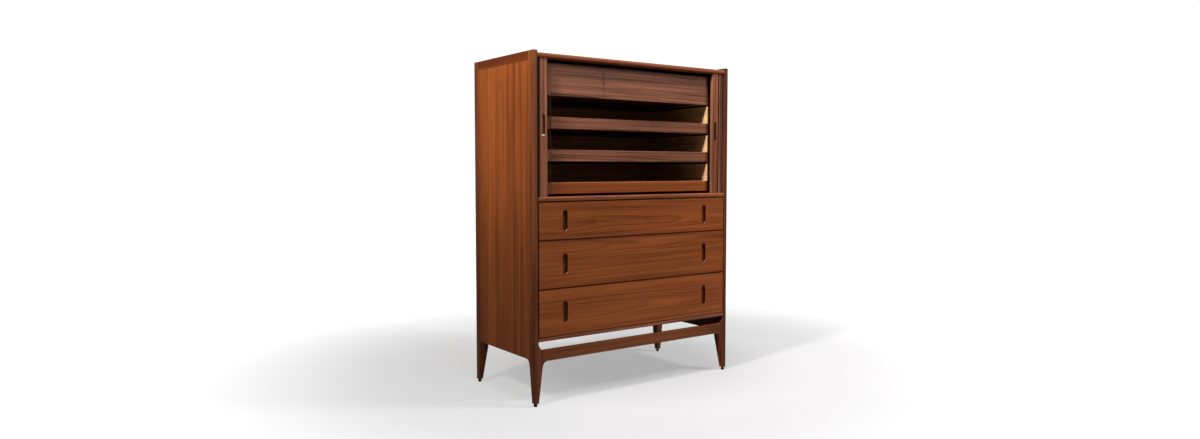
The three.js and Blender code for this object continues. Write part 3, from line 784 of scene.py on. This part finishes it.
class CHEST_OT_case(bpy.types.Operator):
    """Build the side panels, the cross panels, the partitions and the back"""

    bl_idname = "chest.case"
    bl_label = "Case panels"

    def execute(self, context):
        for hand in HANDS:
            self.side(hand, context.scene.chest_sizes)
            self.partition(hand)
        for level, (finish, tone) in BOARDS.items():
            self.board(level, finish, tone)
        self.back()
        return {"FINISHED"}

    def side(self, hand, sizes):
        node = f"{hand}_side_panel"
        low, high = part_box(node)
        outer = low.x if hand == "left" else high.x
        seam = high.z - sizes.top_band
        top_edge, end_edge = 0.0012, 0.001

        def panel_edge(middle, way):
            if abs(middle.z - high.z) < NEAR:
                return top_edge
            if abs(way.z) > 0.9 or abs(middle.z - seam) < NEAR:
                return sizes.joint_edge
            return end_edge

        # Painted shade on the panel's inner face.
        def inner_face(middle, way, corner):
            return HIDDEN if way.x * outer < -0.1 else 0

        knot = (high.z - 0.11, 0.02, 0.03, 0.02, 0.7)
        looks = {"edge": panel_edge, "grime": inner_face, "pith": (0.11, 0.05)}
        for part, facing, own in (
            ("field", -1, {"order": "zyx", "knot": knot}),
            ("band", 1, {"order": "yzx", "tone": 0.55}),
        ):
            start = (outer, 0, seam + facing * HAIR / 2)
            shape = keep_part(cad_shape(node), start, (0, 0, facing))
            name = f"{hand}_side_{part}"
            make_piece(name, shape, "side walnut", "case", node, **looks, **own)

    def partition(self, hand):
        node = f"{hand}_partition"

        # Painted shade on the partition's faces towards the middle and on its front edge.
        def shade(middle, way, corner):
            return HIDDEN if way.x * middle.x < 0 or way.y < -0.5 else 0

        looks = {"order": "zyx", "grime": shade, "pith": (0.1, 0.05)}
        make_piece(f"{hand}_inner_wall", cad_shape(node), "case walnut", "case", node, **looks)

    def board(self, level, finish, tone):
        node = f"{level}_panel"
        low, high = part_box(node)
        plain_edge, upper_nose, lower_nose = 0.0006, 0.006, 0.003

        def nosing(middle, way):
            if level != "divider" or abs(way.x) < 0.9 or middle.y > low.y + CLOSE:
                return plain_edge
            return upper_nose if middle.z > (low.z + high.z) / 2 else lower_nose

        # Faint painted shade along the front of the top board.
        def nose(middle, way, corner):
            return 0.15 if level == "top" and middle.y < low.y + 0.02 else 0

        grime = underside if level == "bottom" else nose
        looks = {"edge": nosing, "order": "xyz", "grime": grime, "pith": (0.02, 0.07), "tone": tone}
        name = f"{level}_board"
        make_piece(name, cad_shape(node), finish, "case", node, slot="case_walnut", **looks)

    def back(self):
        low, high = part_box("back_panel")
        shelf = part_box("divider_panel")
        middle = (shelf[0].z + shelf[1].z) / 2
        half_seam, screw_rise = 0.0005, 0.0008
        row_end, row_edge = 0.03, 0.009  # The screws along each board's top and bottom edges.
        column_end, column_edge = 0.12, 0.01  # The screws along its sides.
        face = high.y - 0.001
        looks = {"edge": 0.0005, "pith": (0.02, 0.09)}
        places = []
        for name, z in (
            ("lower", (low.z, middle - half_seam)),
            ("upper", (middle + half_seam, high.z)),
        ):
            shape = box_shape((low.x, high.x), (low.y, face), z)
            make_piece(f"{name}_back_board", shape, "back plywood", "case", "back_panel", **looks)
            for x in np.linspace(low.x + row_end, high.x - row_end, 6):
                places += [(x, face, row) for row in (z[0] + row_edge, z[1] - row_edge)]
            for row in np.linspace(z[0] + column_end, z[1] - column_end, 2):
                ends = (low.x + column_edge, high.x - column_edge)
                places += [(x, face, row) for x in ends]
        heads = join_shapes([screw_head(place, "y", 1, screw_rise) for place in places])
        make_piece("back_screws", heads, "screw steel", "case", edge=0.0001, segments=1)


class CHEST_OT_boxes(bpy.types.Operator):
    """Build the wide drawers, the inner drawer and the trays"""

    bl_idname = "chest.boxes"
    bl_label = "Drawers and trays"

    def execute(self, context):
        for body, (finish, tone) in FRONTS.items():
            self.front(body, finish, tone, context.scene.chest_sizes)
            self.carcass(body)
        return {"FINISHED"}

    def front(self, body, finish, tone, sizes):
        node = f"{body}_front"
        low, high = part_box(node)
        has_pulls = body in WIDE_DRAWERS
        rim = sizes.tray_edge if body.endswith("tray") else sizes.board_edge
        inset, dark_rim = 0.003, 0.0015  # Where the outer faces are cut, and how far the painted shade of the gaps reaches.
        margin_x, margin_z = 0.02, 0.01  # No pull comes nearer to the outer edges.
        eased_depth, inner_edge = 0.0027, 0.0004  # A pull's rim in front, and its edges behind.
        foot_z = (low.z + high.z) / 2 - 0.0315  # Below it is the round lower end of a pull.
        shape = cad_shape(node)
        if has_pulls:
            for corner, step in ((low, inset), (high, -inset)):
                cut_across(shape, (corner.x + step, 0, 0), (1, 0, 0))
                cut_across(shape, (0, 0, corner.z + step), (0, 0, 1))

        def off_rim(place):
            """Whether a place is away from the outer edges, as all of a pull is."""
            along = low.x + margin_x < place.x < high.x - margin_x
            return along and low.z + margin_z < place.z < high.z - margin_z

        def front_edge(middle, way):
            if has_pulls and off_rim(middle):
                return sizes.pull_edge if middle.y < low.y + CLOSE else inner_edge
            return rim if abs(way.x) > 0.5 else min(rim, sizes.board_edge)

        # Painted shade along the face's edges, on its sides and inside the pulls, and a painted
        # glint on the lower rims of the pulls.
        def grime(middle, way, corner):
            if not has_pulls:
                return 0
            if middle.y < low.y + HAIR:
                gaps = (corner.x - low.x, high.x - corner.x, corner.z - low.z, high.z - corner.z)
                return BLACK if min(gaps) < dark_rim else 0
            if not off_rim(middle):
                return GAP_SIDE
            if middle.y < low.y + eased_depth and abs(way.y) < 0.985:
                return PAINTED_GLINT if middle.z < foot_z and body != "lower_drawer" else BLACK
            if middle.y > high.y - NEAR:
                return 0
            return PULL_FLOOR if abs(way.y) > 0.92 else UNDERSIDE

        draw = random_for(node)
        looks = {"edge": front_edge, "grime": grime, "pith": (draw.uniform(-0.05, 0.05), 0.06)}
        if body == "inner_drawer":
            looks["knot"] = (-0.152, high.z - 0.05, 0.009, 0.06, 0.8)
        make_piece(f"{body}_face", shape, finish, body, node, tone=tone, **looks)

    def carcass(self, body):
        front_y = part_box(f"{body}_front")[0].y
        lipping, fade = 0.0025, 0.018  # Depths of a side's lipping and of the painted shade behind it.
        for part, order in (("left_side", "yzx"), ("right_side", "yzx"), ("back", "xzy")):
            node = f"{body}_{part}"
            low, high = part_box(node)
            shape = cad_shape(node)
            seam = low.y + lipping
            lipped = part != "back" and abs(front_y - low.y) < CLOSE
            if lipped:
                shape = self.lip(body, part, shape, seam)
                cut_across(shape, (0, seam + fade, 0), (0, 1, 0))

            # Painted shade on the left side's outer face, fading away behind the lipping.
            def shade(middle, way, corner):
                if part != "left_side" or not lipped or way.x > -0.1:
                    return 0
                return GAP_SIDE * max(0.0, 1 - (corner.y - seam) / fade)

            looks = {"edge": 0.0008, "order": order, "grime": shade, "pith": (0.05, 0.06)}
            # The backs are darker than the sides: painted shade for the dark inside of a box.
            tone = 0.5 if part == "back" else 0
            make_piece(f"{node}_board", shape, "box maple", body, node, tone=tone, **looks)
        node = f"{body}_bottom"
        looks = {"edge": 0.0004, "order": "xyz", "grime": underside, "pith": (0.02, 0.12)}
        make_piece(f"{node}_board", cad_shape(node), "box plywood", body, node, **looks)

    def lip(self, body, part, shape, seam):
        """Puts a walnut lipping on a side's front end, and gives the side's shape behind it.

        The end rises over a tray's low front. On the left, where the photo shows it, the lipping
        covers that part too, and it reaches over the slide.
        """
        low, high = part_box(f"{body}_{part}")
        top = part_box(f"{body}_front")[1].z
        tip = keep_part(shape.copy(), (0, seam, top), (0, -1, 0))
        keep_part(shape, (0, seam, 0), (0, 1, 0))
        over_slide, low_front = 0.0122, 0.01
        left = low.x - (over_slide if part == "left_side" else 0)
        lipping = [box_shape((left, high.x), (low.y, seam - HAIR), (low.z, top - HAIR))]
        if top > high.z - low_front:
            tip.free()
        elif part == "left_side":
            lipping.append(keep_part(tip, (0, seam - HAIR, top), (0, -1, 0)))
            keep_part(tip, (0, 0, top), (0, 0, 1))
        else:
            shape = join_shapes([shape, keep_part(tip, (0, 0, top), (0, 0, 1))])

        # Painted shade on the lipping above the front's top.
        def upper_part(middle, way, corner):
            return BLACK if middle.z > top - 0.0003 else 0

        looks = {"edge": 0.0006, "order": "zyx", "grime": upper_part, "tone": 0.45}
        make_piece(f"{body}_{part}_lipping", join_shapes(lipping), "tray walnut", body, **looks)
        return shape


class CHEST_OT_slides(bpy.types.Operator):
    """Build each drawer's slides: a channel on the case and a rail on the drawer"""

    bl_idname = "chest.slides"
    bl_label = "Slides"

    def execute(self, context):
        for hand in HANDS:
            for body in WIDE_DRAWERS:
                self.pair(body, hand, f"{hand}_drawer_slides")
            for body in (*(f"{level}_tray" for level in LEVELS), "inner_drawer"):
                self.pair(body, hand, f"{hand}_tray_slides")
        return {"FINISHED"}

    def pair(self, body, hand, node):
        sign = SIGN[hand]
        low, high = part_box(node)
        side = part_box(f"{body}_{hand}_side")
        middle = (side[0].z + side[1].z) / 2
        inner, outer = sorted((abs(low.x), abs(high.x)))
        whole, shorter = (low.y, high.y), (low.y + 0.004, high.y - 0.006)
        web = 0.0013

        def profile(upper, ends):
            """A bar along the slide, from the upper half of its outline."""
            outline = [(sign * x, middle + z) for x, z in upper]
            outline += [(sign * x, middle - z) for x, z in upper[::-1]]
            return prism_shape(outline, *ends, "y")

        def steel(name, shape, rides, *nodes):
            looks = {"edge": 0.0003, "segments": 2, "order": "yzx"}
            make_piece(f"{body}_{hand}_{name}", shape, "slide steel", rides, *nodes, **looks)

        half, lip = 0.0172, inner + 0.0022
        hook = half - 0.004
        channel = [(outer, half), (lip, half), (lip, hook), (lip + web, hook)]
        channel += [(lip + web, half - web), (outer - web, half - web)]
        shapes = [profile(channel, whole)]
        for place in np.linspace(low.y + 0.035, high.y - 0.035, 3):
            shapes.append(screw_head((sign * (outer - web), place, middle), "x", -sign, 0.0012))
        steel("channel", join_shapes(shapes), "case", node)

        half, deep = 0.0118, outer - web - 0.0024
        hook = half - 0.0035
        back, plate = inner - 0.0002, inner + 0.0012
        running = [(deep, half), (deep, hook), (deep - web, hook), (deep - web, half - web)]
        if body in WIDE_DRAWERS:
            rail = [(back, half), *running, (plate - 0.0004 + web, half - web)]
        else:
            rail = [(back, half), (plate, half)]
            start = plate + 0.0004
            bar = [(start, half), *running, (start + web, half - web)]
            steel("bar", profile(bar, shorter), "case")
        steel("rail", profile(rail, shorter), body)


def slat_outline(start, end, back, face, notch):
    """One slat between two places along its run, with both front corners cut off for the V."""
    rim = face + math.copysign(notch, back - face)
    front = [(start, rim), (start + notch, face), (end - notch, face), (end, rim)]
    return [(start, back), *front, (end, back)]


def shift_slats(piece, pitch, axis):
    """Gives each slat of a joined run its own stretch of wood."""
    mesh = piece.data
    places = np.empty(len(mesh.vertices) * 3)
    mesh.vertices.foreach_get("co", places)
    number = np.floor(places.reshape(-1, 3)[:, axis] / pitch).astype(int)
    grain = np.empty(len(mesh.vertices) * 3, np.float32)
    mesh.attributes["grain"].data.foreach_get("vector", grain)
    grain = grain.reshape(-1, 3)
    draw = random_for(piece.name)
    offsets = {n: (draw.uniform(0, 9), draw.uniform(-0.09, 0.09)) for n in sorted(set(number))}
    grain[:, 0] += [offsets[n][0] for n in number]
    grain[:, 1] += [offsets[n][1] for n in number]
    mesh.attributes["grain"].data.foreach_set("vector", grain.ravel())


class CHEST_OT_doors(bpy.types.Operator):
    """Build both tambours: lead slats, the slats that stretch out, the corner and the pocket"""

    bl_idname = "chest.doors"
    bl_label = "Tambour doors"

    def execute(self, context):
        sizes = context.scene.chest_sizes
        for hand in HANDS:
            self.lead(hand)
            self.pocket(hand, sizes)
            self.train(hand, sizes)
        self.second_slat(sizes)
        return {"FINISHED"}

    def lead(self, hand):
        node, body = f"{hand}_lead_slat", f"{hand}_door"
        low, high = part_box(node)
        closing, inward = (high.x, -1) if hand == "left" else (low.x, 1)
        half, centre = 0.038, (low.z + high.z) / 2 + 0.009  # The scoop's half height and middle.
        deep = closing + inward * 0.012  # Where the scoop is deepest.
        floor_end = deep + 0.0125
        nose, inner_nose, plain_edge = 0.006, 0.001, 0.0008
        reach, lip_gap = 0.0145, 0.0003  # How far the scoop spreads, and where its lips begin.
        shape = cad_shape(node)
        # On the right, the scoop's deeper half is cut off to carry its painted shade.
        if hand == "right":
            cut_across(shape, (floor_end, 0, 0), (1, 0, 0))

        def lead_edge(middle, way):
            if abs(way.z) > 0.9 and abs(middle.x - closing) < CLOSE:
                return nose if middle.y < low.y + CLOSE else inner_nose
            return plain_edge

        # Painted shade on the left lead's outer face and in the scoop: its walls, its ends and, on
        # the right, its deeper half.
        def grime(middle, way, corner):
            if hand == "left" and middle.x < low.x + plain_edge and way.x < -0.5:
                return GAP_SIDE
            level = abs(middle.z - centre) < half + 0.0004
            if not level or abs(middle.x - (low.x + high.x) / 2) > reach:
                return 0
            if not low.y + lip_gap < middle.y < high.y - CLOSE:
                return 0
            if abs(way.z) > 0.5 or abs(way.x) > 0.7:
                return BLACK
            return GAP_SIDE if hand == "right" and middle.x < floor_end else 0

        looks = {"edge": lead_edge, "grime": grime, **SLAT_GRAIN}
        make_piece(f"{hand}_door_lead", shape, "case walnut", body, node, **looks)
        if hand == "left":
            outline = [(lip_gap, 0), (0.0085, 0), (0.0085, 0.006), (0.003, 0.006)]
            outline = [(low.y + y, centre - half + z) for y, z in outline]
            lip = prism_shape(outline, deep - reach, deep - lip_gap, "x")
            looks = {"edge": 0.0003, "segments": 1}
            # Painted glint on the lip's front, painted shade on its other faces.
            looks["grime"] = lambda middle, way, corner: PAINTED_GLINT if way.y < -0.5 else BLACK
            make_piece("left_scoop_lip", lip, "case walnut", body, **looks)

    def second_slat(self, sizes):
        low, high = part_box("right_lead_slat")
        start, end = high.x + SLAT_GAP, high.x + sizes.slat_pitch - SLAT_GAP
        outline = [
            (start, high.y),
            (start, low.y + 0.006),
            (start + 0.003, low.y + 0.006),
            (start + 0.003, low.y + 0.0016),
            (start + 0.0075, low.y),
            (end - 0.0015, low.y),
            (end, low.y + 0.0015),
            (end, high.y),
        ]

        # Painted shade: deep in the V beside the lead slat, lighter over the rest of the slat.
        def beside_face(middle, way, corner):
            if middle.x < start + 0.0032:
                return GAP_SIDE
            return 0.6 if middle.x > start + 0.008 else 0

        shape = prism_shape(outline, low.z, high.z, "z")
        looks = {"edge": 0.0004, "segments": 2, "grime": beside_face, **SLAT_GRAIN}
        make_piece("right_door_second_slat", shape, "case walnut", "right_door", **looks)

    def pocket(self, hand, sizes):
        """The slats that stay in the corner and beside the trays, on their canvas."""
        sign = SIGN[hand]
        node = f"{hand}_tambour_curtain"
        low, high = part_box(node)
        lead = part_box(f"{hand}_lead_slat")
        front, back = lead[0].y, lead[1].y
        outer = max(abs(low.x), abs(high.x))
        inner = outer - (back - front) + 0.0008
        if hand == "left":
            first = abs(lead[0].x) + SLAT_GAP
        else:
            first = abs(lead[1].x) + sizes.slat_pitch + 0.0002
        turn, set_back, chamfer, play = front + 0.021, 0.004, 0.0055, 0.0009
        outline = [
            (first, back - play),
            (first, front + set_back),
            (outer - chamfer, front + set_back),
            (outer, front + set_back + chamfer),
            (outer, turn),
            (inner, turn),
            (inner, back - play),
        ]
        shapes = [prism_shape([(sign * x, y) for x, y in outline], low.z, high.z, "z")]
        start = turn + SLAT_GAP
        while start < high.y - 0.004:
            end = min(start + sizes.slat_pitch - SLAT_GAP, high.y)
            outline = slat_outline(start, end, inner, outer, sizes.slat_notch)
            shapes.append(prism_shape([(sign * x, y) for y, x in outline], low.z, high.z, "z"))
            start += sizes.slat_pitch

        # Painted shade on the corner piece.
        def corner_slats(middle, way, corner):
            return BLACK if middle.y < turn + 0.0002 else 0

        looks = {"edge": 0.0004, "segments": 2, "order": "zyx", "grime": corner_slats}
        looks["pith"] = SLAT_GRAIN["pith"]
        shape = join_shapes(shapes)
        slats = make_piece(f"{hand}_pocket_slats", shape, "case walnut", "case", node, **looks)
        shift_slats(slats, sizes.slat_pitch, 1)
        thick, margin = 0.0007, 0.012
        cloth = box_shape(
            sorted((sign * (inner - thick), sign * inner)),
            (front + 0.014, high.y),
            (low.z + margin, high.z - margin),
        )
        looks = {"edge": 0.0002, "segments": 1, "order": "zyx"}
        make_piece(f"{hand}_pocket_canvas", cloth, "tambour canvas", "case", **looks)

    def train(self, hand, sizes):
        """The slats that show when the door is closed; they stretch out from the stile with it,
        which this script doesn't set up.

        Places along the front are measured from the chest's middle, below 0 towards the stile. At
        rest the slats lie pressed together between edge and inside.
        """
        sign = SIGN[hand]
        joint = next(j for j in frame["joints"] if j["child"] == f"{hand}_door")
        travel = abs(joint["range_m"][0])
        low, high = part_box(f"{hand}_lead_slat")
        first = abs(low.x) if hand == "left" else abs(high.x) + sizes.slat_pitch
        play, shortest = 0.0014, 0.012
        front, back = low.y + play, high.y - play
        edge, inside = 0.4643, 0.4622

        def rest_place(closed):
            """Where a point that has this place with the door closed lies at rest."""
            lower, upper = 0.0, 1.0
            for _ in range(60):
                t = (lower + upper) / 2
                moved = -edge + t * (edge - inside) + t * t * (3 - 2 * t) * travel
                if moved < closed:
                    lower = t
                else:
                    upper = t
            return -edge + lower * (edge - inside)

        shapes = []
        end = travel - first - SLAT_GAP
        while end > -edge + shortest:
            start = max(end - sizes.slat_pitch + SLAT_GAP, -edge)
            outline = slat_outline(start, end, back, front, sizes.slat_notch)
            shapes.append(prism_shape([(-sign * x, y) for x, y in outline], low.z, high.z, "z"))
            end = start - SLAT_GAP
        shape, node = join_shapes(shapes), f"{hand}_tambour_curtain"
        looks = {"edge": 0.0004, "segments": 2, **SLAT_GRAIN}
        piece = make_piece(f"{hand}_door_slats", shape, "case walnut", None, node, **looks)
        shift_slats(piece, sizes.slat_pitch, 0)
        for vert in piece.data.vertices:
            vert.co.x = -sign * rest_place(-sign * vert.co.x)
        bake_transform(piece)


class CHEST_OT_stage(bpy.types.Operator):
    """Set the floor, the backdrop, the lamps and the camera"""

    bl_idname = "chest.stage"
    bl_label = "Stage"

    def execute(self, context):
        scene, settings = context.scene, context.scene.chest_stage
        self.floor(scene, settings)
        self.world(scene, settings)
        for name, look in LAMPS.items():
            self.lamp(scene, f"{name}_lamp", getattr(settings, f"{name}_power"), *look)
        self.camera(scene)
        scene.view_settings.view_transform = "Standard"
        return {"FINISHED"}

    def floor(self, scene, settings):
        """A floor that bends up into the backdrop. The camera sees it glow, paler far away and
        dimmer around the chest, a painted shadow.
        """
        material, tree, shader = new_material("pale floor")
        place = add_node(tree, "ShaderNodeTexCoord").outputs["Object"]
        cloud = add_node(tree, "ShaderNodeTexNoise", {"Vector": place, "Scale": 1.5, "Detail": 4.0})
        colour = (*settings.floor, 1)
        darker = mixed(tree, 0.04, colour, (0, 0, 0, 1))
        pale = mixed(tree, ranged(tree, cloud.outputs["Fac"]), darker, colour)
        seen = add_node(tree, "ShaderNodeLightPath").outputs["Is Camera Ray"]
        height = add_node(tree, "ShaderNodeSeparateXYZ", {0: place}).outputs["Z"]
        # The glow is least near the chest: a painted shadow around it.
        inputs = {0: place, 1: (0.25, 0.1, 0.0)}
        apart = add_node(tree, "ShaderNodeVectorMath", inputs, operation="DISTANCE")
        apart = apart.outputs["Value"]
        near = ranged(tree, apart, 0.3, 0.8, 0.4, 0.53)
        far = maths(tree, "ADD", near, ranged(tree, apart, 0.8, 2.2, 0.0, 0.47))
        glow = maths(tree, "MAXIMUM", far, ranged(tree, height, 0.0, 0.3, 0.4, 1.0))
        glow = maths(tree, "MULTIPLY", seen, glow)
        finish = {"Base Color": pale, "Roughness": 0.7, "Emission Color": (1, 1, 1, 1)}
        connect(tree, shader, {**finish, "Emission Strength": glow})
        reach, start, bend, top, below = 40, 3.2, 1.2, 6.0, 0.0002
        angles = np.linspace(0.1, math.pi / 2, 14)
        profile = [(start + bend * math.sin(a), bend - bend * math.cos(a)) for a in angles]
        profile = [(-reach, 0), (start, 0), *profile, (start + bend, top)]
        shape = bmesh.new()
        rows = [[shape.verts.new((x, y, z - below)) for y, z in profile] for x in (-reach, reach)]
        for i in range(len(profile) - 1):
            shape.faces.new([rows[0][i], rows[1][i], rows[1][i + 1], rows[0][i + 1]])
        mesh = bpy.data.meshes.new("floor_sweep")
        shape.to_mesh(mesh)
        shape.free()
        mesh.polygons.foreach_set("use_smooth", [True] * len(mesh.polygons))
        mesh.materials.append(material)
        floor = bpy.data.objects.new("floor_sweep", mesh)
        scene.collection.objects.link(floor)

    def world(self, scene, settings):
        """White where the camera sees it, and faint as a light."""
        world = bpy.data.worlds.new("soft studio")
        scene.world = world
        world.use_nodes = True
        tree = world.node_tree
        paths = add_node(tree, "ShaderNodeLightPath").outputs
        shown = maths(tree, "MAXIMUM", paths["Is Camera Ray"], paths["Is Transmission Ray"])
        rest = maths(tree, "MULTIPLY", maths(tree, "SUBTRACT", 1.0, shown), settings.sky)
        look = {"Color": (1, 1, 1, 1), "Strength": maths(tree, "ADD", shown, rest)}
        connect(tree, tree.nodes["Background"].inputs, look)

    def lamp(self, scene, name, power, place, target, size, spread, colour):
        data = bpy.data.lights.new(name, "AREA")
        data.shape = "DISK"
        data.size = size
        data.spread = math.radians(spread)
        data.energy = power
        data.color = colour
        lamp = bpy.data.objects.new(name, data)
        lamp.location = place
        aim = Vector(target) - Vector(place)
        lamp.rotation_euler = aim.to_track_quat("-Z", "Y").to_euler()
        scene.collection.objects.link(lamp)

    def camera(self, scene):
        """The camera that was fitted to the photo."""
        data = bpy.data.cameras.new("camera")
        data.sensor_fit = "HORIZONTAL"
        data.sensor_width = 36
        data.lens = 24.3
        data.shift_y = -0.0047
        camera = bpy.data.objects.new("camera", data)
        camera.location = (-1.9917, -2.7261, 0.8702)
        camera.rotation_euler = (math.radians(90 - 3.19), 0, math.radians(-35.82))
        scene.collection.objects.link(camera)
        scene.camera = camera


SETTINGS = {"chest_sizes": ChestSizes, "chest_colours": ChestColours, "chest_stage": ChestStage}
STEPS = (
    CHEST_OT_finishes,
    CHEST_OT_legs,
    CHEST_OT_case,
    CHEST_OT_boxes,
    CHEST_OT_slides,
    CHEST_OT_doors,
    CHEST_OT_stage,
)


class CHEST_PT_panel(bpy.types.Panel):
    """Lists the chest's steps and settings"""

    bl_idname = "CHEST_PT_panel"
    bl_label = "Tambour door chest"
    bl_space_type = "VIEW_3D"
    bl_region_type = "UI"
    bl_category = "Chest"

    def draw(self, context):
        for step in STEPS:
            self.layout.operator(step.bl_idname)
        for group in (getattr(context.scene, name) for name in SETTINGS):
            column = self.layout.box().column()
            for name in group.__annotations__:
                column.prop(group, name)


def register():
    for kind in (*SETTINGS.values(), *STEPS, CHEST_PT_panel):
        bpy.utils.register_class(kind)
    for name, kind in SETTINGS.items():
        setattr(bpy.types.Scene, name, PointerProperty(type=kind))


def unregister():
    for name in SETTINGS:
        delattr(bpy.types.Scene, name)
    for kind in (CHEST_PT_panel, *STEPS[::-1], *SETTINGS.values()):
        bpy.utils.unregister_class(kind)


def main():
    register()
    bpy.ops.chest.finishes()
    bpy.ops.chest.legs()
    bpy.ops.chest.case()
    bpy.ops.chest.boxes()
    bpy.ops.chest.slides()
    bpy.ops.chest.doors()
    bpy.ops.chest.stage()


if __name__ == "__main__":
    main()
